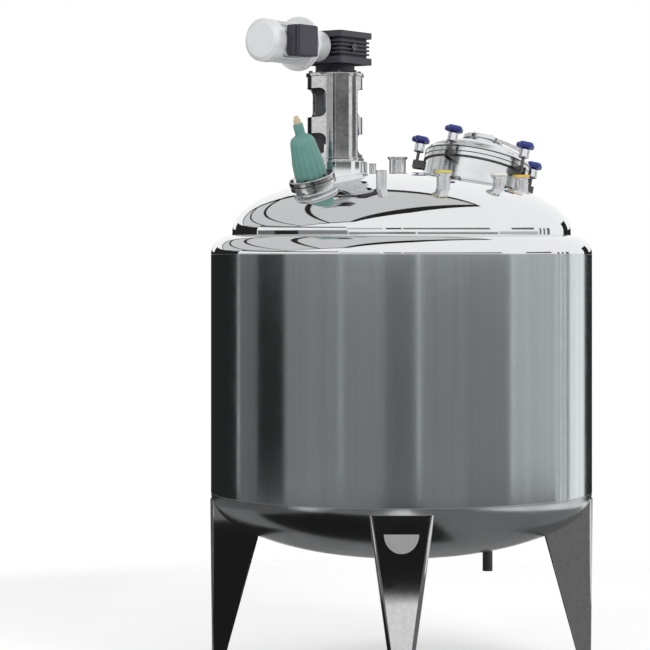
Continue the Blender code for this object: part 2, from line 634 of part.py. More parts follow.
def build_lamp():
    frame = dome_frame(*LAMP_XY)
    bore = LAMP_PORT_R - LAMP_PORT_WALL
    (low_a, low_b), (high_a, high_b) = LAMP_RING_LOW, LAMP_RING_HIGH
    turned("sight_port", [(LAMP_RING_R, low_b), (LAMP_RING_R, low_a), (LAMP_PORT_R, low_a),
                          (LAMP_PORT_R, -0.022), (bore, -0.022), (bore, low_b)], DRIVE_STEPS,
           "polished_steel", frame)
    seat = low_b + GAP
    turned("sight_port_glass", [(0.0, high_a - GAP), (LAMP_RING_R - 0.006, high_a - GAP),
                                (LAMP_RING_R - 0.006, seat), (0.0, seat)], DRIVE_STEPS, "sight_glass", frame)
    turned("sight_port_ring", [(LAMP_RING_R - 0.003, high_b), (LAMP_RING_R, high_b - 0.003), (LAMP_RING_R, high_a),
                               (LAMP_RING_BORE_R, high_a), (LAMP_RING_BORE_R, high_b)], DRIVE_STEPS,
           "polished_steel", frame)
    base = high_b + GAP
    columns = LAMP_RIBS * 4
    bm = bmesh.new()
    rings = []
    for row in range(LAMP_ROWS):
        share = row / (LAMP_ROWS - 1)
        groove = lamp_radius(share)
        rib = groove + LAMP_RIB_DEPTH * (1.0 - share ** 3)
        ring = []
        for step in range(columns):
            angle = 2 * math.pi * step / columns
            radius = rib if step % 4 in (1, 2) else groove
            ring.append(bm.verts.new((radius * math.cos(angle), radius * math.sin(angle),
                                      base + LAMP_BODY_LENGTH * share)))
        rings.append(ring)
    for lower, upper in zip(rings, rings[1:]):
        for step in range(columns):
            following = (step + 1) % columns
            bm.faces.new((lower[step], lower[following], upper[following], upper[step]))
    bm.faces.new(list(reversed(rings[0])))
    bm.faces.new(rings[-1])
    housing = add_object("lamp_housing", bm, "lamp_paint", frame)
    top = base + LAMP_BODY_LENGTH
    stub = turned("lamp_stub", [(0.0, top + LAMP_STUB_LENGTH), (LAMP_STUB_R - 0.003, top + LAMP_STUB_LENGTH),
                                (LAMP_STUB_R, top + LAMP_STUB_LENGTH - 0.004), (LAMP_STUB_R, top - 0.01),
                                (0.0, top - 0.01)], PORT_STEPS, place=frame)
    boolean(housing, stub, "UNION")
    gland_low = top + LAMP_STUB_LENGTH + GAP
    turned("lamp_gland", [(0.0, gland_low + GLAND_LENGTH), (GLAND_R - 0.005, gland_low + GLAND_LENGTH),
                          (GLAND_R, gland_low + GLAND_LENGTH * 0.6), (GLAND_R, gland_low), (0.0, gland_low)],
           SMALL_STEPS, "gland_plastic", frame)


def fork_lug(name, half_width, low, high, end, place):
    """A U seen from above, open outwards, with its back sunk into the neck's wall."""
    ear = half_width + EAR_PLATE
    back = MANWAY_R - MANWAY_WALL + 0.001
    web = MANWAY_R + EAR_PLATE
    outline = [(back, -ear), (end, -ear), (end, -half_width), (web, -half_width), (web, half_width),
               (end, half_width), (end, ear), (back, ear)]
    return prism(name, outline, low, high, place=place)


def build_manway():
    frame = dome_frame(*MANWAY_XY)
    wall = MANWAY_R - MANWAY_WALL
    neck = turned("manway_neck", [(RIM_R, RIM_PLANE), (RIM_R, RIM_LOW + 0.003), (MANWAY_R, RIM_LOW),
                                  (MANWAY_R, -MANWAY_DEPTH), (wall, -MANWAY_DEPTH), (wall, RIM_LOW),
                                  (RIM_BORE_R, RIM_LOW + 0.004), (RIM_BORE_R, RIM_PLANE)],
                  MANWAY_STEPS, "polished_steel", frame)
    half = CLAMP_EYE_WIDTH / 2 + EAR_GAP
    for index, angle in enumerate(CLAMP_ANGLES):
        place = frame @ about_z(angle)
        boolean(neck, fork_lug(f"lug_{index}", half, LUG_LOW, LUG_HIGH, LUG_END_R, place), "UNION")
        boolean(neck, rod(f"lug_pin_{index}", CLAMP_PIN_R, (CLAMP_R, -half - EAR_PLATE / 2, CLAMP_PIVOT),
                          (CLAMP_R, half + EAR_PLATE / 2, CLAMP_PIVOT), place=place), "UNION")
    half = HINGE_WIDTH / 2 + EAR_GAP
    place = frame @ about_z(HINGE_ANGLE)
    boolean(neck, fork_lug("hinge_fork", half, LUG_LOW, HINGE_HEIGHT + KNUCKLE_R - 0.002,
                           HINGE_R + KNUCKLE_R - 0.002, place), "UNION")
    boolean(neck, rod("hinge_pin", HINGE_PIN_R, (HINGE_R, -half - EAR_PLATE / 2, HINGE_HEIGHT),
                      (HINGE_R, half + EAR_PLATE / 2, HINGE_HEIGHT), DRIVE_STEPS // 2, place=place), "UNION")
    hinge_relief(neck, place, half)


def hinge_relief(neck, place, half):
    """Room above the rim's plane, between the hinge's ears, for the knuckle and the cover's rim."""
    depth = HINGE_R - HINGE_PIN_R - PIN_PLAY - MANWAY_R
    low = RIM_PLANE
    boolean(neck, block("hinge_relief", (depth, 2 * (half + EAR_PLATE) + 0.01, 0.06),
                        (MANWAY_R + depth / 2 - 0.004 - KNUCKLE_R / 2, 0, low + 0.03), place=place))


def build_cover():
    frame = dome_frame(*MANWAY_XY)
    gasket_low = RIM_PLANE + GAP
    turned("cover_gasket", [(RIM_R - 0.002, gasket_low + GASKET), (RIM_R - 0.002, gasket_low),
                            (RIM_BORE_R + 0.001, gasket_low), (RIM_BORE_R + 0.001, gasket_low + GASKET)],
           MANWAY_STEPS, "black_rubber", frame)
    low = gasket_low + GASKET + GAP
    top = low + COVER_RIM
    neck_share = math.degrees(math.acos(SIGHT_NECK_R / COVER_DISH_R))
    outside = ellipse_arc(COVER_DISH_R, COVER_RISE, top, 6, neck_share, 6)
    dish_bore = COVER_DISH_R - COVER_WALL
    bore_share = math.degrees(math.acos(RIM_BORE_R / dish_bore))
    inside = ellipse_arc(dish_bore, COVER_RISE - COVER_WALL, top, 90, bore_share, 7)
    sight_low = top + COVER_RISE + SIGHT_NECK_RISE
    profile = [(0.0, sight_low), (SIGHT_NECK_R, sight_low)] + outside[::-1]
    profile += [(RIM_R, top - 0.002), (RIM_R, low), (RIM_BORE_R, low)] + inside[::-1]
    turned("manway_cover", profile, MANWAY_STEPS, "polished_steel", frame)
    ring_low = sight_low + GAP
    ring_top = ring_low + SIGHT_RING
    turned("cover_sight_ring", [(0.0, ring_top - SIGHT_RECESS), (SIGHT_GLASS_R, ring_top - SIGHT_RECESS),
                                (SIGHT_GLASS_R, ring_top), (SIGHT_RING_R - 0.002, ring_top),
                                (SIGHT_RING_R, ring_top - 0.002), (SIGHT_RING_R, ring_low), (0.0, ring_low)],
           DRIVE_STEPS, "polished_steel", frame)
    build_handle(frame, top)
    build_hinge_arm(frame, low, top)


def build_handle(frame, rim_top):
    """A bent bar that stands on the cover's dish."""
    x, y = HANDLE_XY
    outline = bpy.data.curves.new("cover_handle", "CURVE")
    outline.dimensions = "3D"
    outline.bevel_depth = HANDLE_BAR_R
    outline.bevel_resolution = 2
    outline.use_fill_caps = True
    spline = outline.splines.new("POLY")
    half = HANDLE_SPAN / 2
    bend = 0.014

    def dish(px):
        share = 1.0 - (px * px + y * y) / COVER_DISH_R ** 2
        return rim_top + COVER_RISE * math.sqrt(max(share, 0.0))

    high = dish(x - half) + HANDLE_RISE - HANDLE_BAR_R
    route = [(x - half, y, dish(x - half) - 0.02)]
    for centre_x, start in ((x - half + bend, 180), (x + half - bend, 90)):
        for step in range(4):
            angle = math.radians(start - 90 * step / 3)
            route.append((centre_x + bend * math.cos(angle), y, high - bend + bend * math.sin(angle)))
    route.append((x + half, y, dish(x + half) - 0.02))
    spline.points.add(len(route) - 1)
    for point, place in zip(spline.points, route):
        point.co = (*place, 1.0)
    bar = bpy.data.objects.new("cover_handle_bar", outline)
    bpy.data.collections["cutters"].objects.link(bar)
    bar.matrix_world = frame
    bpy.context.view_layer.update()
    graph = bpy.context.evaluated_depsgraph_get()
    mesh = bpy.data.meshes.new_from_object(bar.evaluated_get(graph))
    bm = bmesh.new()
    bm.from_mesh(mesh)
    bmesh.ops.remove_doubles(bm, verts=bm.verts, dist=WELD)
    handle = add_object("cover_handle", bm, "polished_steel", bar.matrix_world.copy())
    bpy.data.objects.remove(bar)
    profile = ellipse_arc(COVER_DISH_R + GAP, COVER_RISE + GAP, rim_top, 90, 6, 12)
    seat = turned("handle_seat", profile + [(COVER_DISH_R, rim_top - 0.04), (0.0, rim_top - 0.04)],
                  MANWAY_STEPS, place=frame)
    boolean(handle, seat)


def build_hinge_arm(frame, low, top):
    """The knuckle on the hinge's pin, and its web up to the cover's rim."""
    place = frame @ about_z(HINGE_ANGLE)
    lying = place @ Matrix.Rotation(math.radians(90), 4, "X")
    outline = []
    for step in range(13):
        angle = math.radians(-110 + 220 * step / 12)
        outline.append((HINGE_R + KNUCKLE_R * math.cos(angle), HINGE_HEIGHT + KNUCKLE_R * math.sin(angle)))
    outline += [(RIM_R + GAP, top - 0.003), (RIM_R + GAP, low + 0.003)]
    arm = prism("cover_hinge_arm", outline, -HINGE_WIDTH / 2, HINGE_WIDTH / 2, "brushed_steel", lying)
    boolean(arm, rod("knuckle_bore", HINGE_PIN_R + PIN_PLAY, (HINGE_R, HINGE_HEIGHT, -HINGE_WIDTH),
                     (HINGE_R, HINGE_HEIGHT, HINGE_WIDTH), DRIVE_STEPS // 2, place=lying))


def knob_outline(points_per_lobe=6, lobes=5):
    """Five lobes, with a hollow between two of them turned towards the manway."""
    outline = []
    count = points_per_lobe * lobes
    for step in range(count):
        angle = 2 * math.pi * step / count
        wave = 0.5 + 0.5 * math.cos(lobes * angle)
        radius = KNOB_NOTCH_R + (KNOB_LOBE_R - KNOB_NOTCH_R) * wave ** 0.8
        outline.append((radius * math.cos(angle), radius * math.sin(angle)))
    return outline


def build_clamps():
    frame = dome_frame(*MANWAY_XY)
    for index, angle in enumerate(CLAMP_ANGLES):
        number = index + 1
        place = frame @ about_z(angle) @ Matrix.Translation((CLAMP_R, 0, 0))
        profile = [(0.0, SLEEVE_HIGH), (SLEEVE_R - 0.002, SLEEVE_HIGH), (SLEEVE_R, SLEEVE_HIGH - 0.002),
                   (SLEEVE_R, SLEEVE_LOW), (CLAMP_ROD_R, SLEEVE_LOW), (CLAMP_ROD_R, CLAMP_PIVOT),
                   (0.0, CLAMP_PIVOT)]
        bolt = turned(f"swing_bolt_{number}", profile, PORT_STEPS, "polished_steel", place)
        half = CLAMP_EYE_WIDTH / 2
        eye = rod(f"eye_{number}", CLAMP_EYE_R, (0, -half, CLAMP_PIVOT), (0, half, CLAMP_PIVOT), PORT_STEPS,
                  place=place)
        boolean(bolt, eye, "UNION")
        bore = rod(f"eye_bore_{number}", CLAMP_PIN_R + PIN_PLAY, (0, -2 * half, CLAMP_PIVOT),
                   (0, 2 * half, CLAMP_PIVOT), SMALL_STEPS, place=place)
        boolean(bolt, bore)
        head_low = KNOB_TOP - KNOB_HEAD
        knob = prism(f"star_knob_{number}", knob_outline(), head_low, KNOB_TOP, "knob_plastic", place)
        rounding = knob.modifiers.new("rounding", "BEVEL")
        rounding.width = 0.004
        rounding.segments = 1
        rounding.limit_method = "ANGLE"
        rounding.angle_limit = math.radians(60)
        neck = turned(f"knob_neck_{number}", [(0.0, head_low + 0.006), (KNOB_NECK_R + 0.006, head_low + 0.006),
                                              (KNOB_NECK_R, head_low - 0.004), (KNOB_NECK_R - 0.002, SLEEVE_HIGH + GAP),
                                              (0.0, SLEEVE_HIGH + GAP)], PORT_STEPS, place=place)
        boolean(knob, neck, "UNION")


def main():
    clear_scene()
    collection("mixing_vat")
    collection("cutters")
    dome = dome_cutter()
    dish = jacket_dish_cutter()
    build_jacket()
    build_vessel()
    build_legs(dish)
    build_outlets()
    build_ports()
    build_drive_stand(dome)
    build_agitator()
    build_gearbox()
    build_motor()
    build_lamp()
    build_manway()
    build_cover()
    build_clamps()


main()
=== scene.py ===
"""Looks of the jacketed mixing tank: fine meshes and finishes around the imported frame.

Units are metres and +Z is up. The front of the tank looks along -Y. Heights and radii are those of
the tank's own solids, and places are read from the frame where a box gives them.
"""

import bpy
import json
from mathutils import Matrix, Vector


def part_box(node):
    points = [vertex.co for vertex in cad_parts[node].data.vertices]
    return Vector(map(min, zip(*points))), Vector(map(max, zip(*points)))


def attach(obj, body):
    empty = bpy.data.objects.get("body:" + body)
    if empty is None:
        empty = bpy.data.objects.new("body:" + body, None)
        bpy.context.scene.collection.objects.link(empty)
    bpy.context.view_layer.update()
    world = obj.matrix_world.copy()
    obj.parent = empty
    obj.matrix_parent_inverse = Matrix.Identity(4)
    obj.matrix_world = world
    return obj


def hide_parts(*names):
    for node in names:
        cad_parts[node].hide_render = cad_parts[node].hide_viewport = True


bl_info = {
    "name": "Mixing Tank Finish",
    "version": (1, 0, 0),
    "blender": (4, 5, 0),
    "location": "View3D > Sidebar > Mixing Tank",
    "description": "Builds the fine surfaces, finishes and studio of a jacketed mixing tank",
    "category": "Object",
}

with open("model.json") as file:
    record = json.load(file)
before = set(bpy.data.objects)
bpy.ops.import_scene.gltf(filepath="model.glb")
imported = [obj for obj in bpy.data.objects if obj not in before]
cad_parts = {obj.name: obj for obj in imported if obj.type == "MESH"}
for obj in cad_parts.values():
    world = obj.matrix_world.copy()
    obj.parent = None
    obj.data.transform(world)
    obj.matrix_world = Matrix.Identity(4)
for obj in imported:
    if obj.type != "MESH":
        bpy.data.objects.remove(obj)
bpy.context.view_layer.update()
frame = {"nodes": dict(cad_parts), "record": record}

import json
import math

import bmesh
import bpy
from bpy.props import FloatProperty, FloatVectorProperty, IntProperty, PointerProperty
from mathutils import Matrix, Vector

# Clearance between pieces that touch
GAP = 0.0003

# Facets round a weld's bead, and its ripples as a share of its radius
WELD_SIDES = 8
WELD_RIPPLE = 0.12

# Jacket, vessel and dome
JACKET_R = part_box("outer_shell")[1].x
JACKET_WALL = 0.003
JACKET_BOTTOM_Z = 0.663
JACKET_TOP_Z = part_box("outer_shell")[1].z
JACKET_DISH = 0.239
SHOULDER_RISE = 0.068
VESSEL_R = 0.622
VESSEL_WALL = 0.004
DOME_SPRING_Z = 1.615
DOME_RISE = 0.218
DOME_SKIRT = 0.017
HOLE_REACH = 0.090
OUTLET_R = 0.0255
DRAIN_X = 0.317
DRAIN_R = 0.0185

# Legs
LEGS = ("leg_right", "leg_back", "leg_left", "leg_front")
LEG_FACE_R = 0.697
LEG_PLATE = 0.005
LEG_TOP_Z = 0.598
LEG_FOOT_WIDTH = 0.052
LEG_TOP_WIDTH = 0.214
LEG_FOOT_DEPTH = 0.037
LEG_TOP_DEPTH = 0.196
LEG_BEND_R = 0.016
LEG_JOIN_Z = 0.640
# A half-round pad near the top of each leg's face, whose pale finish is a painted reflection
LEG_REFLECTION_PAD_Z = 0.576
LEG_REFLECTION_PAD_HALF = 0.060
LEG_REFLECTION_PAD_DROP = 0.066
LEG_REFLECTION_PAD_THICK = 0.0012
FOOT_PLATE = 0.012
FOOT_LENGTH = 0.080
FOOT_WIDTH = 0.090

# Drive
DRIVE_X = -0.245
PAD_R = 0.120
PAD_BORE_R = 0.055
PAD_TOP_Z = 1.872
LANTERN_R = 0.103
LANTERN_WALL = 0.006
LANTERN_FLANGE_R = 0.108
LANTERN_FLANGE = 0.012
LANTERN_TOP_Z = 2.196
LANTERN_LIP_R = 0.062
WINDOW_ANGLE = 19.0
WINDOW_WIDTH = 0.166
WINDOW_CORNER = 0.020
WINDOW_ROWS = ((1.897, 1.975), (2.034, 2.140))
NECK_R = 0.072
NECK_BORE_R = 0.030
GEARBOX_ANGLE = 235.0
GEARBOX_SIDE = 0.200
GEARBOX_CORE = 0.168
GEARBOX_BOTTOM_Z = 2.229
GEARBOX_TOP_Z = 2.347
BOTTOM_PLATE = 0.024
TOP_PLATE = 0.022
RIB_SIDE = 0.188
RIB_COUNT = 4
RIB_THICK = 0.006
MOTOR_Z = 2.291
ADAPTER_END = 0.216
ADAPTER_R = 0.062
MOTOR_FLANGE_R = 0.098
MOTOR_FLANGE = 0.013
MOTOR_R = 0.066
MOTOR_FIN_R = 0.075
MOTOR_LENGTH = 0.165
MOTOR_FINS = 24
FAN_COVER_LENGTH = 0.048
FAN_COVER_R = 0.077
BOX_LENGTH = 0.112
BOX_DEPTH = 0.060
BOX_HEIGHT = 0.110

# Sight port and lamp
LAMP_XY = (-0.309, -0.329)
LAMP_PORT_R = 0.070
LAMP_PORT_WALL = 0.004
LAMP_RING_R = 0.083
LAMP_RING_LOW = (0.010, 0.026)
LAMP_RING_HIGH = (0.029, 0.047)
LAMP_RING_BORE_R = 0.050
LAMP_BODY_LENGTH = 0.150
LAMP_STUB_R = 0.018
LAMP_STUB_LENGTH = 0.045
LAMP_RIBS = 16
LAMP_RIB_DEPTH = 0.0035
LAMP_SHAPE = ((0.0, 0.053), (0.06, 0.0545), (0.35, 0.0530), (0.60, 0.0470), (0.86, 0.0430), (0.95, 0.038),
              (1.0, 0.028))
GLAND_R = 0.013
GLAND_LENGTH = 0.026

# Upright ports: x, y, tube radius, flange radius, top height, cap thickness
PORTS = {
    "port_front_left": (-0.070, -0.450, 0.0190, 0.0200, 1.826, 0.0),
    "port_middle": (-0.015, 0.200, 0.0315, 0.0385, 1.898, 0.0),
    "port_small": (-0.108, 0.150, 0.0130, 0.0140, 1.872, 0.0),
    "port_front": (0.147, -0.430, 0.0240, 0.0300, 1.816, 0.009),
    "port_right": (0.348, -0.270, 0.0205, 0.0290, 1.812, 0.009),
    "port_far_right": (0.437, -0.080, 0.0255, 0.0300, 1.812, 0.009),
}
PORT_WALL = 0.002
PORT_FLANGE = 0.004
PORT_DEPTH = 0.020
CAP_LIP = 0.0015
CAP_FINISH = {"port_front": "pale_yellow", "port_right": "white", "port_far_right": "orange_yellow"}

# Manway, square to the dome
MANWAY_XY = (0.272, 0.294)
MANWAY_R = 0.200
MANWAY_WALL = 0.003
MANWAY_DEPTH = 0.052
RIM_R = 0.206
RIM_BORE_R = 0.187
RIM_LOW = 0.070
RIM_PLANE = 0.086
GASKET = 0.0022
COVER_RIM = 0.024
COVER_WALL = 0.004
COVER_RISE = 0.060
COVER_DISH_R = 0.198
SIGHT_NECK_R = 0.066
SIGHT_NECK_RISE = 0.012
SIGHT_RING_R = 0.076
SIGHT_RING = 0.015
SIGHT_GLASS_R = 0.050
SIGHT_RECESS = 0.005
CLAMP_ANGLES = (170.8, -117.2, -45.2, 26.8)
CLAMP_R = 0.235
CLAMP_PIVOT = 0.062
CLAMP_EYE_R = 0.011
CLAMP_EYE_WIDTH = 0.013
CLAMP_PIN_R = 0.006
CLAMP_ROD_R = 0.006
SLEEVE_R = 0.0195
SLEEVE_LOW = 0.112
SLEEVE_HIGH = 0.142
KNOB_TOP = 0.171
KNOB_HEAD = 0.023
KNOB_LOBE_R = 0.036
KNOB_NOTCH_R = 0.028
KNOB_LOBES = 5
PIN_PLAY = 0.0004
# A dark band round the cover's rim, a painted shadow line: its height, and its drop from the rim's top
COVER_SHADE_LINE = 0.0055
COVER_SHADE_LINE_DROP = 0.004
HANDLE_XY = (0.112, -0.078)
HANDLE_SPAN = 0.080
HANDLE_HEIGHT = 0.024
HANDLE_BAR_R = 0.006
EAR_PLATE = 0.006
EAR_GAP = 0.001
LUG_LOW = 0.046
LUG_HIGH = 0.076
LUG_END_R = 0.247
HINGE_ANGLE = 98.8
HINGE_R = 0.238
HINGE_HEIGHT = 0.098
HINGE_PIN_R = 0.007
HINGE_WIDTH = 0.034
KNUCKLE_R = 0.014

# The photograph's camera: it stands level, in front of the tank's axis
CAMERA_DISTANCE = 9.2
CAMERA_HEIGHT = 1.518
PICTURE = 650.0
METRES_PER_PIXEL = 0.003684
AXIS_PIXEL = 401.5
HORIZON_PIXEL = 258.0
SENSOR = 36.0


def linear(red, green, blue):
    """A colour as a screen shows it, from 0 to 255, as the shader's linear values."""
    return tuple(((value / 255 + 0.055) / 1.055) ** 2.4 for value in (red, green, blue))


# Meshes

def about_z(angle):
    return Matrix.Rotation(math.radians(angle), 4, "Z")


def dome_height(radius):
    return DOME_SPRING_Z + DOME_RISE * math.sqrt(1.0 - (radius / VESSEL_R) ** 2)


def dish_height(radius):
    return JACKET_BOTTOM_Z - JACKET_DISH * math.sqrt(1.0 - (radius / JACKET_R) ** 2)


def dome_frame(x, y):
    """The frame that stands square on the dome at (x, y), with its X to the tank's right."""
    z = dome_height(math.hypot(x, y))
    up = Vector((x / VESSEL_R ** 2, y / VESSEL_R ** 2, (z - DOME_SPRING_Z) / DOME_RISE ** 2)).normalized()
    right = (Vector((1.0, 0.0, 0.0)) - up.x * up).normalized()
    turn = Matrix((right, up.cross(right), up)).transposed().to_4x4()
    return Matrix.Translation((x, y, z)) @ turn


def arc(radius, rise, base_z, start, end, points):
    """Points (r, z) on an ellipse; the angle is 0 at its widest place and 90 at its top or bottom."""
    found = []
    for step in range(points):
        angle = math.radians(start + (end - start) * step / (points - 1))
        found.append((max(radius * math.cos(angle), 0.0), base_z + rise * math.sin(angle)))
    return found


def circle(radius, count):
    """Points (x, y) round a circle, from +X."""
    return [(radius * math.cos(2 * math.pi * step / count), radius * math.sin(2 * math.pi * step / count))
            for step in range(count)]


def soften(profile, radius, closed, steps=3):
    """Rounds the corners of a profile, as far as its stretches allow."""
    points = [Vector(point) for point in profile]
    count = len(points)
    rounded = []
    for index, corner in enumerate(points):
        if not closed and index in (0, count - 1):
            rounded.append(tuple(corner))
            continue
        back = points[index - 1] - corner
        ahead = points[(index + 1) % count] - corner
        if min(back.length, ahead.length) < 1e-6 or back.angle(ahead) > math.radians(155):
            rounded.append(tuple(corner))
            continue
        reach = min(radius, 0.42 * back.length, 0.42 * ahead.length)
        first = corner + back.normalized() * reach
        last = corner + ahead.normalized() * reach
        for step in range(steps + 1):
            share = step / steps
            rounded.append(tuple(first.lerp(corner, share).lerp(corner.lerp(last, share), share)))
    return rounded


def smooth(obj, angle=32.0):
    """Smooth shading that keeps wide faces flat beside their rounded edges."""
    obj.data.shade_smooth()
    obj.data.set_sharp_from_angle(angle=math.radians(angle))
    weights = obj.modifiers.new("even_normals", "WEIGHTED_NORMAL")
    weights.keep_sharp = True


def made(name, bm, place=None):
    """The object of a finished mesh, set in its place."""
    bmesh.ops.recalc_face_normals(bm, faces=bm.faces)
    mesh = bpy.data.meshes.new(name)
    bm.to_mesh(mesh)
    bm.free()
    obj = bpy.data.objects.new(name, mesh)
    smooth(obj)
    bpy.context.scene.collection.objects.link(obj)
    if place is not None:
        obj.matrix_world = place
    return obj


def spin_into(bm, profile, segments, place=None, soft=0.0):
    """A profile of (radius, height) pairs turned about Z, added to a mesh."""
    closed = profile[0][0] > 1e-6
    if soft:
        profile = soften(profile, soft, closed)
    place = place or Matrix.Identity(4)
    rings = []
    for radius, height in profile:
        spots = circle(radius, segments) if radius > 1e-6 else [(0.0, 0.0)]
        rings.append([bm.verts.new(place @ Vector((x, y, height))) for x, y in spots])
    if closed:
        rings.append(rings[0])
    for upper, lower in zip(rings, rings[1:]):
        for step in range(segments):
            after = (step + 1) % segments
            if len(upper) == 1 and len(lower) == 1:
                continue
            if len(upper) == 1:
                bm.faces.new((upper[0], lower[after], lower[step]))
            elif len(lower) == 1:
                bm.faces.new((upper[step], upper[after], lower[0]))
            else:
                bm.faces.new((upper[step], upper[after], lower[after], lower[step]))


def lathe(name, profile, segments=96, place=None, soft=0.0012):
    bm = bmesh.new()
    spin_into(bm, profile, segments, soft=soft)
    return made(name, bm, place)


def join_rings(bm, rings, capped=True):
    """Faces from each ring of vertices to the next, and over both ends if they are capped."""
    if capped:
        bm.faces.new(rings[0][::-1])
        bm.faces.new(rings[-1])
    for lower, upper in zip(rings, rings[1:]):
        for step in range(len(lower)):
            after = (step + 1) % len(lower)
            bm.faces.new((lower[step], lower[after], upper[after], upper[step]))


def prism_into(bm, outline, low, high, place=None):
    """A flat outline in XY raised from one height to another, added to a mesh."""
    place = place or Matrix.Identity(4)
    join_rings(bm, [[bm.verts.new(place @ Vector((x, y, height))) for x, y in outline]
                    for height in (low, high)])


def wavy_ring(bm, base, depth, waves, height):
    """A ring of vertices at one height, each set out from the base radius by its share of the depth."""
    ring = []
    for step, wave in enumerate(waves):
        angle = 2 * math.pi * step / len(waves)
        radius = base + depth * wave
        ring.append(bm.verts.new((radius * math.cos(angle), radius * math.sin(angle), height)))
    return ring


def prism(name, outline, low, high, place=None, bevel=0.0, segments=2):
    bm = bmesh.new()
    prism_into(bm, outline, low, high)
    if bevel:
        sharp = [edge for edge in bm.edges if edge.calc_face_angle(0.0) > math.radians(40)]
        bmesh.ops.bevel(bm, geom=sharp, offset=bevel, segments=segments, affect="EDGES")
    return made(name, bm, place)


def rounded_rectangle(width, height, radius, points=8):
    outline = []
    for side_x, side_y, start in ((1, 1, 0), (-1, 1, 90), (-1, -1, 180), (1, -1, 270)):
        for step in range(points):
            angle = math.radians(start + 90 * step / (points - 1))
            outline.append((side_x * (width / 2 - radius) + radius * math.cos(angle),
                            side_y * (height / 2 - radius) + radius * math.sin(angle)))
    return outline


def block(name, size, centre, place=None, bevel=0.0015, segments=3):
    bm = bmesh.new()
    bmesh.ops.create_cube(bm, size=1.0)
    bmesh.ops.scale(bm, vec=size, verts=bm.verts)
    bmesh.ops.translate(bm, vec=centre, verts=bm.verts)
    bmesh.ops.bevel(bm, geom=bm.edges, offset=bevel, segments=segments, affect="EDGES")
    return made(name, bm, place)


def rod(name, radius, start, end, segments=32, place=None, bevel=0.0):
    start, end = Vector(start), Vector(end)
    turn = Matrix.Translation(start) @ (end - start).to_track_quat("Z", "Y").to_matrix().to_4x4()
    length = (end - start).length
    bm = bmesh.new()
    spin_into(bm, [(0.0, length), (radius, length), (radius, 0.0), (0.0, 0.0)], segments, turn, bevel)
    return made(name, bm, place)


def bead_into(bm, path, radius, waves=0, closed=True, ripple=WELD_RIPPLE):
    """A weld's bead along points, added to a mesh, with ripples where it has waves."""
    count = len(path)
    rings = []
    for index, point in enumerate(path):
        if closed:
            along = path[(index + 1) % count] - path[index - 1]
        else:
            along = path[min(index + 1, count - 1)] - path[max(index - 1, 0)]
        turn = along.to_track_quat("Z", "Y")
        size = radius * (1.0 + ripple * math.sin(2 * math.pi * waves * index / count))
        rings.append([bm.verts.new(point + turn @ Vector((x, y, 0.0))) for x, y in circle(size, WELD_SIDES)])
    if closed:
        rings.append(rings[0])
    join_rings(bm, rings, capped=not closed)


def weld_rings(name, rings, place=None):
    """Welds that run round: a radius, a height and a bead radius for each."""
    bm = bmesh.new()
    for radius, height, bead in rings:
        count = max(96, int(2 * math.pi * radius / 0.006))
        path = [Vector((x, y, height)) for x, y in circle(radius, count)]
        bead_into(bm, path, bead, count // 4, ripple=0.10)
    return made(name, bm, place)


def bolt_circle(place, count, first_angle, radius, height):
    """Frames for bolts that stand round a circle."""
    return [place @ about_z(360 / count * step + first_angle) @ Matrix.Translation((radius, 0, height))
            for step in range(count)]


def bolts(name, places, across, head):
    """Hexagon heads on washers, each standing on the XY plane of its own frame."""
    bm = bmesh.new()
    plate = across * 0.575
    for place in places:
        spin_into(bm, [(0.0, head * 0.25), (plate, head * 0.25), (plate, 0.0), (0.0, 0.0)], 24, place)
        prism_into(bm, circle(across / math.sqrt(3), 6), head * 0.25, head * 1.1, place)
        spin_into(bm, [(0.0, head * 1.25), (across * 0.40, head * 1.25), (across * 0.47, head * 1.1),
                       (0.0, head * 1.1)], 24, place)
    return made(name, bm)


def apply_modifiers(obj):
    bpy.context.view_layer.update()
    graph = bpy.context.evaluated_depsgraph_get()
    mesh = bpy.data.meshes.new_from_object(obj.evaluated_get(graph))
    obj.modifiers.clear()
    obj.data = mesh
    smooth(obj)


def combine(obj, tools, operation="DIFFERENCE"):
    """Cuts the tools from an object, or joins them to it, and removes them."""
    for item in (obj, *tools):
        item.modifiers.clear()
    for tool in tools:
        step = obj.modifiers.new(operation.lower(), "BOOLEAN")
        step.operation = operation
        step.solver = "EXACT"
        step.object = tool
    apply_modifiers(obj)
    for tool in tools:
        bpy.data.objects.remove(tool)


def dress(obj, material, body="root", nodes=()):
    """Gives a piece its finish and its body, and the solids that it stands for."""
    obj.data.materials.clear()
    obj.data.materials.append(material)
    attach(obj, body)
    if nodes:
        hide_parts(*nodes)


def second_finish(obj, material, chosen):
    """Gives another finish to the faces that are chosen by their centres."""
    obj.data.materials.append(material)
    for face in obj.data.polygons:
        if chosen(face.center):
            face.material_index = 1


# Finishes

def new_group(name, inputs, outputs):
    """A shader node group: its tree, and its input and output nodes."""
    tree = bpy.data.node_groups.new(name, "ShaderNodeTree")
    for label, kind, default in inputs:
        socket = tree.interface.new_socket(name=label, in_out="INPUT", socket_type=kind)
        socket.default_value = default
    for label, kind in outputs:
        tree.interface.new_socket(name=label, in_out="OUTPUT", socket_type=kind)
    return tree, tree.nodes.new("NodeGroupInput"), tree.nodes.new("NodeGroupOutput")


def noise(tree, vector, scale, detail=4.0, rough=0.5):
    node = tree.nodes.new("ShaderNodeTexNoise")
    node.inputs["Scale"].default_value = scale
    node.inputs["Detail"].default_value = detail
    node.inputs["Roughness"].default_value = rough
    tree.links.new(vector, node.inputs["Vector"])
    return node.outputs["Fac"]


def stretched(tree, scale):
    """Object coordinates, scaled apart along the axes."""
    coordinates = tree.nodes.new("ShaderNodeTexCoord")
    mapping = tree.nodes.new("ShaderNodeMapping")
    mapping.inputs["Scale"].default_value = scale
    tree.links.new(coordinates.outputs["Object"], mapping.inputs["Vector"])
    return mapping.outputs["Vector"]


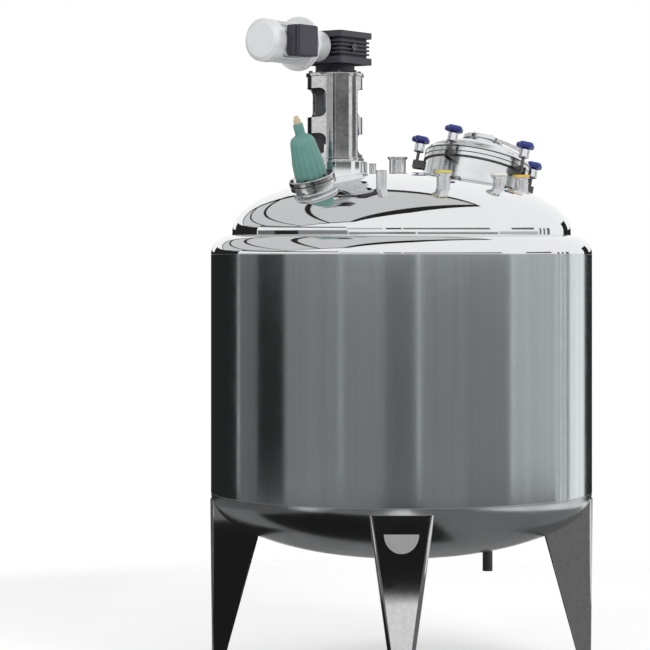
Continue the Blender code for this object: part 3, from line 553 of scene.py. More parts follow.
def spread(tree, value, low, high, to_low=0.0, to_high=1.0):
    node = tree.nodes.new("ShaderNodeMapRange")
    node.clamp = True
    node.inputs["From Min"].default_value = low
    node.inputs["From Max"].default_value = high
    node.inputs["To Min"].default_value = to_low
    node.inputs["To Max"].default_value = to_high
    tree.links.new(value, node.inputs["Value"])
    return node.outputs["Result"]


def maths(tree, operation, first, second):
    node = tree.nodes.new("ShaderNodeMath")
    node.operation = operation
    for index, value in enumerate((first, second)):
        if isinstance(value, (int, float)):
            node.inputs[index].default_value = value
        else:
            tree.links.new(value, node.inputs[index])
    return node.outputs[0]


def blended(tree, factor, first, second):
    node = tree.nodes.new("ShaderNodeMix")
    node.data_type = "RGBA"
    tree.links.new(factor, node.inputs["Factor"])
    tree.links.new(first, node.inputs["A"])
    tree.links.new(second, node.inputs["B"])
    return node.outputs["Result"]


def steel_group(name, grain_scale, wave_scale):
    """Sheet steel: grain along one way, soft smudges, and slow waves that bend what it mirrors."""
    tree, source, sink = new_group(name, (
        ("Color", "NodeSocketColor", (0.6, 0.6, 0.6, 1.0)),
        ("Shade", "NodeSocketColor", (0.4, 0.4, 0.4, 1.0)),
        ("Grain", "NodeSocketFloat", 0.3),
        ("Smudge", "NodeSocketFloat", 0.2),
        ("Roughness", "NodeSocketFloat", 0.2),
    ), (("Color", "NodeSocketColor"), ("Roughness", "NodeSocketFloat"), ("Height", "NodeSocketFloat")))
    grain = noise(tree, stretched(tree, grain_scale), 1.0, 6.0, 0.65)
    smudge = noise(tree, stretched(tree, (5.0, 5.0, 7.0)), 1.0, 5.0, 0.6)
    wave = noise(tree, stretched(tree, wave_scale), 1.0, 2.0, 0.4)
    lines = spread(tree, grain, 0.30, 0.72)
    clouds = spread(tree, smudge, 0.42, 0.75)
    toned = maths(tree, "ADD", maths(tree, "MULTIPLY", lines, source.outputs["Grain"]),
                  maths(tree, "MULTIPLY", clouds, source.outputs["Smudge"]))
    colour = blended(tree, toned, source.outputs["Color"], source.outputs["Shade"])
    rough = maths(tree, "ADD", source.outputs["Roughness"],
                  maths(tree, "MULTIPLY", clouds, maths(tree, "MULTIPLY", source.outputs["Smudge"], 0.35)))
    height = maths(tree, "ADD", wave, maths(tree, "MULTIPLY", grain, 0.04))
    tree.links.new(colour, sink.inputs["Color"])
    tree.links.new(rough, sink.inputs["Roughness"])
    tree.links.new(height, sink.inputs["Height"])
    return tree


def coat_group():
    """Paint or moulded plastic: a fine skin, cloudy tone, dust in patches, and lighter edges that are partly
    wear and partly a painted highlight.
    """
    tree, source, sink = new_group("coat", (
        ("Color", "NodeSocketColor", (0.5, 0.5, 0.5, 1.0)),
        ("Worn", "NodeSocketColor", (0.6, 0.6, 0.6, 1.0)),
        ("Wear", "NodeSocketFloat", 0.2),
        ("Grain", "NodeSocketFloat", 400.0),
        ("Roughness", "NodeSocketFloat", 0.4),
    ), (("Color", "NodeSocketColor"), ("Roughness", "NodeSocketFloat"), ("Height", "NodeSocketFloat")))
    even = stretched(tree, (1.0, 1.0, 1.0))
    patch = noise(tree, even, 14.0, 6.0, 0.6)
    fine = tree.nodes.new("ShaderNodeTexNoise")
    fine.inputs["Detail"].default_value = 3.0
    tree.links.new(even, fine.inputs["Vector"])
    tree.links.new(source.outputs["Grain"], fine.inputs["Scale"])
    geometry = tree.nodes.new("ShaderNodeNewGeometry")
    # Convex edges lighter: partly wear, partly a painted highlight
    edge = spread(tree, geometry.outputs["Pointiness"], 0.51, 0.58)
    wear_and_highlight = maths(tree, "MULTIPLY", source.outputs["Wear"],
                 maths(tree, "ADD", edge, spread(tree, patch, 0.45, 0.75, 0.0, 0.6)))
    tree.links.new(blended(tree, wear_and_highlight, source.outputs["Color"], source.outputs["Worn"]), sink.inputs["Color"])
    tree.links.new(maths(tree, "ADD", source.outputs["Roughness"], maths(tree, "MULTIPLY", patch, 0.12)),
                   sink.inputs["Roughness"])
    tree.links.new(fine.outputs["Fac"], sink.inputs["Height"])
    return tree


def new_finish(name, tree, values, metallic, bump, distance, **sockets):
    """A material whose colour, roughness and relief come from a group."""
    material = bpy.data.materials.new(name)
    material.use_nodes = True
    nodes, links = material.node_tree.nodes, material.node_tree.links
    shader = nodes["Principled BSDF"]
    shader.inputs["Metallic"].default_value = metallic
    for label, value in sockets.items():
        shader.inputs[label.replace("_", " ").title()].default_value = value
    group = nodes.new("ShaderNodeGroup")
    group.node_tree = tree
    for label, value in values.items():
        group.inputs[label].default_value = (*value, 1.0) if isinstance(value, tuple) else value
    relief = nodes.new("ShaderNodeBump")
    relief.inputs["Strength"].default_value = bump
    relief.inputs["Distance"].default_value = distance
    links.new(group.outputs["Color"], shader.inputs["Base Color"])
    links.new(group.outputs["Roughness"], shader.inputs["Roughness"])
    links.new(group.outputs["Height"], relief.inputs["Height"])
    links.new(relief.outputs["Normal"], shader.inputs["Normal"])
    return material


# The finishes by name, filled before the first piece that wears one
FINISHES = {}


def make_finishes(settings):
    """Every finish: its colours, its wear and the coats' painted edge highlights, then how metallic it is,
    and its relief.
    """
    upright = steel_group("rolled_steel", (26.0, 26.0, 0.35), (3.0, 3.0, 0.4))
    polished = steel_group("polished_steel_skin", (9.0, 9.0, 9.0), (4.0, 4.0, 4.0))
    plate = steel_group("plate_steel", (60.0, 60.0, 60.0), (12.0, 12.0, 12.0))
    coat = coat_group()
    steel = tuple(settings.steel_colour)
    mirror = tuple(settings.mirror_colour)
    FINISHES["shell"] = new_finish("shell_sheet", upright, {
        "Color": steel, "Shade": tuple(value * 0.72 for value in steel), "Grain": 0.42, "Smudge": 0.10,
        "Roughness": settings.shell_roughness}, 1.0, 0.10, 0.002)
    FINISHES["mirror"] = new_finish("mirror_steel", polished, {
        "Color": mirror, "Shade": tuple(value * 0.85 for value in mirror), "Grain": 0.10, "Smudge": 0.06,
        "Roughness": settings.mirror_roughness}, 1.0, 0.12, 0.003)
    FINISHES["fitting"] = new_finish("fitting_steel", polished, {
        "Color": mirror, "Shade": tuple(value * 0.62 for value in mirror), "Grain": 0.30, "Smudge": 0.25,
        "Roughness": 0.13}, 1.0, 0.10, 0.001)
    FINISHES["dish"] = new_finish("dish_steel", polished, {
        "Color": (0.48, 0.50, 0.51), "Shade": (0.34, 0.35, 0.36), "Grain": 0.35, "Smudge": 0.35,
        "Roughness": 0.19}, 1.0, 0.10, 0.002)
    FINISHES["leg"] = new_finish("leg_plate", plate, {
        "Color": (0.54, 0.54, 0.545), "Shade": (0.34, 0.34, 0.345), "Grain": 0.50, "Smudge": 0.10,
        "Roughness": 0.04}, 1.0, 0.06, 0.0005)
    # Pale, rough steel for the legs' pads: a painted reflection
    FINISHES["ground"] = new_finish("ground_steel", plate, {
        "Color": (0.80, 0.80, 0.81), "Shade": (0.60, 0.60, 0.61), "Grain": 0.30, "Smudge": 0.20,
        "Roughness": 0.52}, 1.0, 0.12, 0.0006)
    FINISHES["drive"] = new_finish("drive_steel", plate, {
        "Color": (0.66, 0.66, 0.67), "Shade": (0.26, 0.26, 0.265), "Grain": 0.50, "Smudge": 0.25,
        "Roughness": 0.08}, 1.0, 0.12, 0.0008)
    FINISHES["weld"] = new_finish("weld_steel", plate, {
        "Color": (0.50, 0.50, 0.50), "Shade": (0.26, 0.25, 0.24), "Grain": 0.5, "Smudge": 0.4,
        "Roughness": 0.32}, 1.0, 0.35, 0.001)
    FINISHES["dark_steel"] = new_finish("dark_steel", plate, {
        "Color": (0.16, 0.16, 0.165), "Shade": (0.07, 0.07, 0.07), "Grain": 0.5, "Smudge": 0.4,
        "Roughness": 0.34}, 1.0, 0.25, 0.001)
    FINISHES["charcoal"] = new_finish("gearbox_coat", coat, {
        "Color": tuple(settings.gearbox_colour), "Worn": linear(128, 122, 138), "Wear": 0.12, "Grain": 700.0,
        "Roughness": 0.44}, 0.0, 0.25, 0.0006)
    FINISHES["alloy"] = new_finish("motor_alloy_skin", plate, {
        "Color": (0.86, 0.87, 0.88), "Shade": (0.66, 0.67, 0.68), "Grain": 0.30, "Smudge": 0.20,
        "Roughness": 0.40}, 0.35, 0.25, 0.0006)
    FINISHES["teal"] = new_finish("lamp_enamel", coat, {
        "Color": tuple(settings.lamp_colour), "Worn": linear(140, 180, 170), "Wear": 0.22, "Grain": 500.0,
        "Roughness": 0.34}, 0.0, 0.18, 0.0006, coat_weight=0.25)
    FINISHES["cream"] = new_finish("gland_cream", coat, {
        "Color": linear(200, 184, 154), "Worn": linear(226, 214, 190), "Wear": 0.3, "Grain": 600.0,
        "Roughness": 0.42}, 0.0, 0.10, 0.0005)
    FINISHES["blue"] = new_finish("knob_blue", coat, {
        "Color": tuple(settings.knob_colour), "Worn": linear(58, 92, 186), "Wear": 0.35, "Grain": 500.0,
        "Roughness": 0.24}, 0.0, 0.06, 0.0005, coat_weight=0.5)
    for label, colour in (("pale_yellow", (214, 206, 90)), ("white", (236, 236, 230)),
                          ("orange_yellow", (234, 190, 56))):
        FINISHES[label] = new_finish("cap_" + label, coat, {
            "Color": linear(*colour), "Worn": linear(244, 240, 214), "Wear": 0.2, "Grain": 450.0,
            "Roughness": 0.42}, 0.0, 0.08, 0.0005)
    FINISHES["rubber"] = new_finish("seal_rubber", coat, {
        "Color": (0.022, 0.022, 0.023), "Worn": (0.08, 0.08, 0.08), "Wear": 0.4, "Grain": 900.0,
        "Roughness": 0.55}, 0.0, 0.3, 0.0005)
    FINISHES["glass"] = new_finish("sight_glass_skin", coat, {
        "Color": linear(120, 140, 136), "Worn": linear(150, 166, 162), "Wear": 0.1, "Grain": 300.0,
        "Roughness": 0.03}, 0.0, 0.0, 0.0005, transmission_weight=0.85)


# The tank

def jacket_arc(offset, start, end, points=30):
    """The profile of the jacket's dish, moved out from its surface by an offset."""
    return arc(JACKET_R + offset, -(JACKET_DISH + offset), JACKET_BOTTOM_Z, start, end, points)


def dome_arc(offset, start, end, points=44):
    """The profile of the dome, moved out from its surface by an offset."""
    return arc(VESSEL_R + offset, DOME_RISE + offset, DOME_SPRING_Z, start, end, points)


def build_jacket(settings):
    """The jacket's sheet, its shoulder and its dished bottom, with their welds."""
    steps = settings.tank_facets
    inner = JACKET_R - JACKET_WALL
    rows = 24
    outer = [(JACKET_R, JACKET_TOP_Z - (JACKET_TOP_Z - JACKET_BOTTOM_Z - GAP) * row / rows)
             for row in range(rows + 1)]
    shell = lathe("jacket_sheet", outer + [(inner, JACKET_BOTTOM_Z + GAP), (inner, JACKET_TOP_Z)], steps)
    dress(shell, FINISHES["shell"], nodes=("outer_shell",))
    span = JACKET_R - VESSEL_R - GAP
    low = JACKET_TOP_Z + GAP
    outside = [(VESSEL_R + GAP + r, z) for r, z in arc(span, SHOULDER_RISE, low, 90, 0, 20)]
    inside = [(VESSEL_R + GAP + r, z)
              for r, z in arc(span - JACKET_WALL, SHOULDER_RISE - JACKET_WALL, low, 0, 90, 12)]
    shoulder = lathe("jacket_shoulder", outside + inside, steps)
    dress(shoulder, FINISHES["mirror"], nodes=("shoulder_ring",))
    head = lathe("jacket_dish", jacket_arc(0.0, 0, 90) + jacket_arc(-JACKET_WALL, 90, 0), steps)
    combine(head, [rod("outlet_hole", OUTLET_R + GAP, (0, 0, 0.33), (0, 0, JACKET_BOTTOM_Z)),
                   rod("drain_hole", DRAIN_R + GAP, (DRAIN_X, 0, 0.36), (DRAIN_X, 0, JACKET_BOTTOM_Z))])
    dress(head, FINISHES["dish"], nodes=("outer_bottom_head",))
    bead = settings.weld_bead
    welds = weld_rings("jacket_welds", [(JACKET_R - bead, height, bead * 0.8)
                                        for height in (JACKET_BOTTOM_Z, JACKET_TOP_Z)])
    dress(welds, FINISHES["weld"])


def build_dome(settings):
    """The dome's sheet, with holes for what stands on it."""
    seam = DOME_SPRING_Z - DOME_SKIRT
    inner = VESSEL_R - VESSEL_WALL
    profile = dome_arc(0.0, 90, 0) + [(VESSEL_R, seam), (inner, seam)] + dome_arc(-VESSEL_WALL, 0, 90, 20)
    dome = lathe("dome_sheet", profile, settings.tank_facets)
    low, high = (0, 0, -HOLE_REACH), (0, 0, HOLE_REACH)
    holes = [rod("drive_hole", PAD_BORE_R, (DRIVE_X, 0, DOME_SPRING_Z), (DRIVE_X, 0, PAD_TOP_Z)),
             rod("lamp_hole", LAMP_PORT_R + GAP, low, high, 64, dome_frame(*LAMP_XY)),
             rod("manway_hole", MANWAY_R + GAP, low, high, 96, dome_frame(*MANWAY_XY))]
    for name, (x, y, radius, _flange, top, _cap) in PORTS.items():
        holes.append(rod(name + "_hole", radius + GAP, (x, y, DOME_SPRING_Z), (x, y, top)))
    combine(dome, holes)
    dress(dome, FINISHES["mirror"], nodes=("top_head",))


def dome_path(spots):
    """Spots (x, y) set down on the dome, for a weld to run along."""
    rim = VESSEL_R - 0.01
    return [Vector((x, y, dome_height(min(math.hypot(x, y), rim)))) for x, y in spots]


def build_dome_welds(bead):
    """The welds at the dome's foot, round the ports and the drive's pad, and at both ends of the manway, the
    upper one dark as a painted shadow line under the rim.
    """
    seam_weld = weld_rings("dome_weld", ((VESSEL_R + bead * 0.2, JACKET_TOP_Z + SHOULDER_RISE, bead * 0.8),))
    dress(seam_weld, FINISHES["fitting"])
    bm = bmesh.new()
    for x, y, radius, _flange, _top, _cap in PORTS.values():
        path = dome_path([(x + px, y + py) for px, py in circle(radius, 40)])
        bead_into(bm, path, bead * 0.7, 10)
    path = dome_path([(DRIVE_X + px, py) for px, py in circle(PAD_R, 120)])
    bead_into(bm, path, bead, 30)
    dress(made("port_welds", bm), FINISHES["fitting"])
    manway = dome_frame(*MANWAY_XY)
    bm = bmesh.new()
    path = dome_path([(manway @ Vector((px, py, 0.0)))[:2] for px, py in circle(MANWAY_R, 180)])
    bead_into(bm, path, bead * 1.2, 45)
    dress(made("manway_weld", bm), FINISHES["fitting"])
    # The weld under the collar's rim wears dark steel: a painted shadow line under the rim
    rim = weld_rings("manway_rim_shadow_weld", ((MANWAY_R + bead * 0.5, RIM_LOW - bead * 0.5, bead * 1.6),), manway)
    dress(rim, FINISHES["dark_steel"])


def leg_outline(height, inset):
    """The channel's section at one height, set in from its outside."""
    share = (height - FOOT_PLATE) / (LEG_TOP_Z - FOOT_PLATE)
    half = (LEG_FOOT_WIDTH + (LEG_TOP_WIDTH - LEG_FOOT_WIDTH) * share) / 2 - inset
    depth = LEG_FOOT_DEPTH + (LEG_TOP_DEPTH - LEG_FOOT_DEPTH) * share
    face = LEG_FACE_R - inset
    bend = LEG_BEND_R - inset
    side = [(LEG_FACE_R - depth, half)]
    for step in range(9):
        angle = math.radians(90 - 90 * step / 8)
        side.append((face - bend * (1 - math.cos(angle)), half - bend * (1 - math.sin(angle))))
    return side + [(x, -y) for x, y in reversed(side)]


def leg_channel(node, place):
    """The tapered channel, open to the tank's axis and cut to the jacket's dish."""
    low = FOOT_PLATE - 0.0005
    count = 10
    bm = bmesh.new()
    rows = []
    for row in range(count + 1):
        height = low + (LEG_JOIN_Z - low) * row / count
        section = leg_outline(height, 0.0) + leg_outline(height, LEG_PLATE)[::-1]
        rows.append([bm.verts.new((x, y, height)) for x, y in section])
    join_rings(bm, rows, capped=False)
    for ring in (rows[0], rows[-1]):
        for column in range(len(ring) // 2 - 1):
            bm.faces.new((ring[column], ring[column + 1], ring[-2 - column], ring[-1 - column]))
    leg = made(node + "_channel", bm, place)
    high = JACKET_BOTTOM_Z + 0.05
    dish = [(0.0, high), (JACKET_R + GAP, high)] + jacket_arc(GAP, 0, 90)
    combine(leg, [lathe("dish_cutter", dish, 96, soft=0.0)])
    return leg


def leg_reflection_pad(node, place):
    """A thin half-round plate on the leg's face, near its top, whose pale, rough finish is a painted
    reflection.
    """
    outline = []
    for step in range(33):
        angle = math.radians(180 + 180 * step / 32)
        outline.append((LEG_REFLECTION_PAD_HALF * math.cos(angle), LEG_REFLECTION_PAD_DROP * math.sin(angle)))
    face = place @ Matrix.Translation((LEG_FACE_R, 0, LEG_REFLECTION_PAD_Z)) @ about_z(90)
    face = face @ Matrix.Rotation(math.radians(90), 4, "X")
    return prism(node + "_pad", outline, 0.0, LEG_REFLECTION_PAD_THICK, face, 0.0003)


def build_legs(bead):
    """The four legs, each with its foot plate, welds, and a pad that carries a painted reflection."""
    for index, node in enumerate(LEGS):
        place = about_z(index * 90)
        dress(leg_channel(node, place), FINISHES["leg"], nodes=(node,))
        foot = block(node + "_foot", (FOOT_LENGTH, FOOT_WIDTH, FOOT_PLATE),
                     (LEG_FACE_R - FOOT_LENGTH / 2 + 0.002, 0.0, FOOT_PLATE / 2), place)
        dress(foot, FINISHES["leg"])
        dress(leg_welds(node, place, bead), FINISHES["weld"])
        # The pad's pale finish is a painted reflection.
        dress(leg_reflection_pad(node, place), FINISHES["ground"])


def leg_welds(node, place, bead):
    """The welds along the dish, on both sides, and round the channel's foot."""
    bm = bmesh.new()
    for side in (-1, 1):
        path = []
        for step in range(31):
            x = LEG_FACE_R - LEG_TOP_DEPTH + 0.004 + (LEG_TOP_DEPTH - 0.036) * step / 30
            y = LEG_TOP_WIDTH / 2 - 0.012 + 0.010 * step / 30
            path.append(Vector((x, side * y, dish_height(math.hypot(x, y)) - bead * 0.3)))
        bead_into(bm, path, bead, 10, closed=False)
    section = [Vector((x, y, FOOT_PLATE)) for x, y in leg_outline(FOOT_PLATE, 0.0)]
    bead_into(bm, section, bead, closed=False)
    return made(node + "_welds", bm, place)


# Fittings on the dome

def build_ports():
    """The upright ports, with lids on those that are capped."""
    for name, (x, y, radius, flange, top, cap) in PORTS.items():
        low = dome_height(math.hypot(x, y)) - PORT_DEPTH
        bore = radius - PORT_WALL
        roof = top - PORT_FLANGE
        place = Matrix.Translation((x, y, 0))
        profile = [(0.0, top - 0.0006), (flange * 0.62, top - 0.0006), (flange * 0.66, top), (flange, top),
                   (flange, roof), (radius, roof - (flange - radius)), (radius, low), (bore, low),
                   (bore, roof - PORT_WALL), (0.0, roof - PORT_WALL)]
        tube = lathe(name + "_ferrule", profile, 64, place, 0.0008)
        dress(tube, FINISHES["fitting"], nodes=(name,))
        if cap:
            wide = flange + CAP_LIP
            base = top + GAP
            crown = [(0.0, base + cap - 0.001), (wide * 0.70, base + cap - 0.001), (wide * 0.74, base + cap),
                     (wide - 0.001, base + cap), (wide, base + cap - 0.002), (wide, base + cap * 0.55),
                     (wide - 0.0007, base + cap * 0.50), (wide, base + cap * 0.45), (wide, base), (0.0, base)]
            lid = lathe(name + "_lid", crown, 64, place, 0.0005)
            dress(lid, FINISHES[CAP_FINISH[name]], nodes=(name + "_cap",))


def lamp_radius(share):
    """The housing's radius between its ribs, at a share of its length."""
    for (low, first), (high, second) in zip(LAMP_SHAPE, LAMP_SHAPE[1:]):
        if share <= high:
            within = (share - low) / (high - low)
            return first + (second - first) * within
    return LAMP_SHAPE[-1][1]


def lamp_mesh(base, place):
    """The lamp's housing, with ribs that fade out towards its top."""
    columns = LAMP_RIBS * 10
    rows = 40
    waves = [(0.5 + 0.5 * math.cos(2 * math.pi * LAMP_RIBS * (step / columns))) ** 0.45
             for step in range(columns)]
    bm = bmesh.new()
    rings = []
    for row in range(rows + 1):
        share = row / rows
        depth = LAMP_RIB_DEPTH * (1.0 - share ** 3)
        rings.append(wavy_ring(bm, lamp_radius(share), depth, waves, base + LAMP_BODY_LENGTH * share))
    join_rings(bm, rings)
    return made("lamp_ribbed_housing", bm, place)


def build_lamp():
    """The sight port with its glass, seal and clamp ring, and the lamp that stands on it."""
    place = dome_frame(*LAMP_XY)
    bore = LAMP_PORT_R - LAMP_PORT_WALL
    (low_a, low_b), (high_a, high_b) = LAMP_RING_LOW, LAMP_RING_HIGH
    port = lathe("sight_port_neck", [(LAMP_RING_R, low_b), (LAMP_RING_R, low_a), (LAMP_PORT_R, low_a),
                                     (LAMP_PORT_R, -0.022), (bore, -0.022), (bore, low_b)], 96, place)
    dress(port, FINISHES["fitting"], nodes=("sight_port",))
    seat = low_b + GAP
    roof = high_a - GAP
    pane = [(0.0, roof), (LAMP_PORT_R, roof), (LAMP_PORT_R, seat), (0.0, seat)]
    glass = lathe("sight_port_pane", pane, 96, place, 0.0004)
    dress(glass, FINISHES["glass"], nodes=("sight_port_glass",))
    seal = lathe("sight_port_seal", [(LAMP_RING_R - 0.006, roof), (LAMP_RING_R - 0.006, seat),
                                     (LAMP_PORT_R + GAP, seat), (LAMP_PORT_R + GAP, roof)], 96, place, 0.0004)
    dress(seal, FINISHES["rubber"])
    ring = lathe("sight_port_clamp_ring", [(LAMP_RING_R - 0.003, high_b), (LAMP_RING_R, high_b - 0.003),
                                           (LAMP_RING_R, high_a), (LAMP_RING_BORE_R, high_a),
                                           (LAMP_RING_BORE_R, high_b)], 96, place)
    dress(ring, FINISHES["drive"], nodes=("sight_port_ring",))
    places = bolt_circle(place, 6, 15, LAMP_RING_R - 0.011, high_b)
    dress(bolts("sight_port_bolts", places, 0.010, 0.005), FINISHES["dark_steel"])
    base = high_b + GAP
    dress(lamp_mesh(base, place), FINISHES["teal"], nodes=("lamp_housing",))
    foot = base + LAMP_BODY_LENGTH
    end = foot + LAMP_STUB_LENGTH
    stub = [(0.0, end), (LAMP_STUB_R - 0.003, end), (LAMP_STUB_R, end - 0.004), (LAMP_STUB_R, foot + 0.006),
            (LAMP_STUB_R + 0.006, foot), (LAMP_STUB_R + 0.006, foot - 0.004), (0.0, foot - 0.004)]
    dress(lathe("lamp_stub", stub, 64, place), FINISHES["teal"])
    low = end + GAP
    high = low + GLAND_LENGTH
    nut = low + GLAND_LENGTH * 0.55
    profile = [(0.0, high), (GLAND_R - 0.005, high), (GLAND_R - 0.003, nut), (GLAND_R, nut - 0.001),
               (GLAND_R, low), (0.0, low)]
    gland = lathe("lamp_cable_gland", profile, 48, place)
    dress(gland, FINISHES["cream"], nodes=("lamp_gland",))


# Drive

def build_lantern():
    """The pad on the dome, the windowed lantern, and the collar under the gearbox."""
    drive = Matrix.Translation((DRIVE_X, 0, 0))
    high = DOME_SPRING_Z
    pad = lathe("drive_pad", [(PAD_R, PAD_TOP_Z), (PAD_R, high), (PAD_BORE_R, high), (PAD_BORE_R, PAD_TOP_Z)],
                96, drive, 0.003)
    low = DOME_SPRING_Z - 0.10
    under = lathe("dome_cutter", dome_arc(GAP, 90, 0) + [(VESSEL_R + GAP, low), (0.0, low)], 128, soft=0.0)
    combine(pad, [under])
    dress(pad, FINISHES["mirror"], nodes=("agitator_pad",))
    low = PAD_TOP_Z + GAP
    wall = LANTERN_R - LANTERN_WALL
    top = LANTERN_TOP_Z
    lantern = lathe("drive_lantern", [
        (LANTERN_FLANGE_R, top), (LANTERN_FLANGE_R, top - LANTERN_FLANGE), (LANTERN_R, top - LANTERN_FLANGE),
        (LANTERN_R, low + LANTERN_FLANGE), (LANTERN_FLANGE_R, low + LANTERN_FLANGE), (LANTERN_FLANGE_R, low),
        (LANTERN_LIP_R, low), (LANTERN_LIP_R, low + LANTERN_FLANGE), (wall, low + LANTERN_FLANGE),
        (wall, top - LANTERN_FLANGE), (LANTERN_LIP_R, top - LANTERN_FLANGE), (LANTERN_LIP_R, top)],
        128, drive)
    across = Matrix.Rotation(math.radians(90), 4, "Y") @ about_z(90)
    reach = LANTERN_FLANGE_R + 0.02
    cutters = []
    for row, (bottom, roof) in enumerate(WINDOW_ROWS):
        outline = rounded_rectangle(WINDOW_WIDTH, roof - bottom, WINDOW_CORNER)
        place = Matrix.Translation((DRIVE_X, 0, (bottom + roof) / 2)) @ about_z(WINDOW_ANGLE) @ across
        cutters.append(prism(f"window_{row}", outline, -reach, reach, place))
    combine(lantern, cutters)
    dress(lantern, FINISHES["drive"], nodes=("lantern",))
    # The lantern's inside wears dark steel: painted shade inside the lantern, seen through its windows
    second_finish(lantern, FINISHES["dark_steel"], lambda spot: math.hypot(spot.x, spot.y) < wall + 0.001)
    neck_low = top + GAP
    neck = lathe("gearbox_collar", [(NECK_R, GEARBOX_BOTTOM_Z - GAP), (NECK_R, neck_low + 0.006),
                                    (NECK_R + 0.006, neck_low), (NECK_BORE_R, neck_low),
                                    (NECK_BORE_R, GEARBOX_BOTTOM_Z - GAP)], 96, drive)
    dress(neck, FINISHES["charcoal"], nodes=("gearbox_neck",))
    places = bolt_circle(drive, 8, 10, 0.090, top)
    dress(bolts("lantern_bolts", places, 0.013, 0.008), FINISHES["dark_steel"])


def build_gearbox():
    """The ribbed gearbox between its two plates, with its bolts and a plug."""
    centre = Matrix.Translation((DRIVE_X, 0, 0)) @ about_z(GEARBOX_ANGLE)
    rib_low = GEARBOX_BOTTOM_Z + BOTTOM_PLATE
    rib_high = GEARBOX_TOP_Z - TOP_PLATE
    height = GEARBOX_TOP_Z - GEARBOX_BOTTOM_Z
    case = block("gearbox_case", (GEARBOX_CORE, GEARBOX_CORE, height - 0.01),
                 (0, 0, GEARBOX_BOTTOM_Z + height / 2), centre)
    plate = rounded_rectangle(GEARBOX_SIDE, GEARBOX_SIDE, 0.012, 6)
    tools = [prism("bottom_plate", plate, GEARBOX_BOTTOM_Z, rib_low, centre, 0.0015),
             prism("top_plate", plate, rib_high, GEARBOX_TOP_Z, centre, 0.0015)]
    pitch = (rib_high - rib_low) / (RIB_COUNT + 1)
    rib = rounded_rectangle(RIB_SIDE, RIB_SIDE, 0.012, 6)
    half = RIB_THICK / 2
    for index in range(RIB_COUNT):
        middle = rib_low + pitch * (index + 1)
        tools.append(prism(f"rib_{index}", rib, middle - half, middle + half, centre, 0.0012))
    combine(case, tools, "UNION")
    dress(case, FINISHES["charcoal"], nodes=("gearbox",))
    corner = GEARBOX_SIDE / 2 - 0.016
    places = [centre @ Matrix.Translation((x, y, GEARBOX_TOP_Z - 0.009))
              for x in (-corner, corner) for y in (-corner, corner)]
    sunk = bolts("gearbox_bolts", places, 0.012, 0.007)
    dress(sunk, FINISHES["dark_steel"])
    out = centre @ Matrix.Translation((0.012, GEARBOX_CORE / 2, (rib_low + rib_high) / 2))
    out = out @ Matrix.Rotation(math.radians(-90), 4, "X")
    plug = lathe("gearbox_plug", [(0.0, 0.0125), (0.006, 0.0125), (0.0075, 0.0145), (0.0125, 0.0145),
                                  (0.014, 0.013), (0.014, 0.0), (0.0, 0.0)], 48, out, 0.0006)
    dress(plug, FINISHES["dark_steel"])


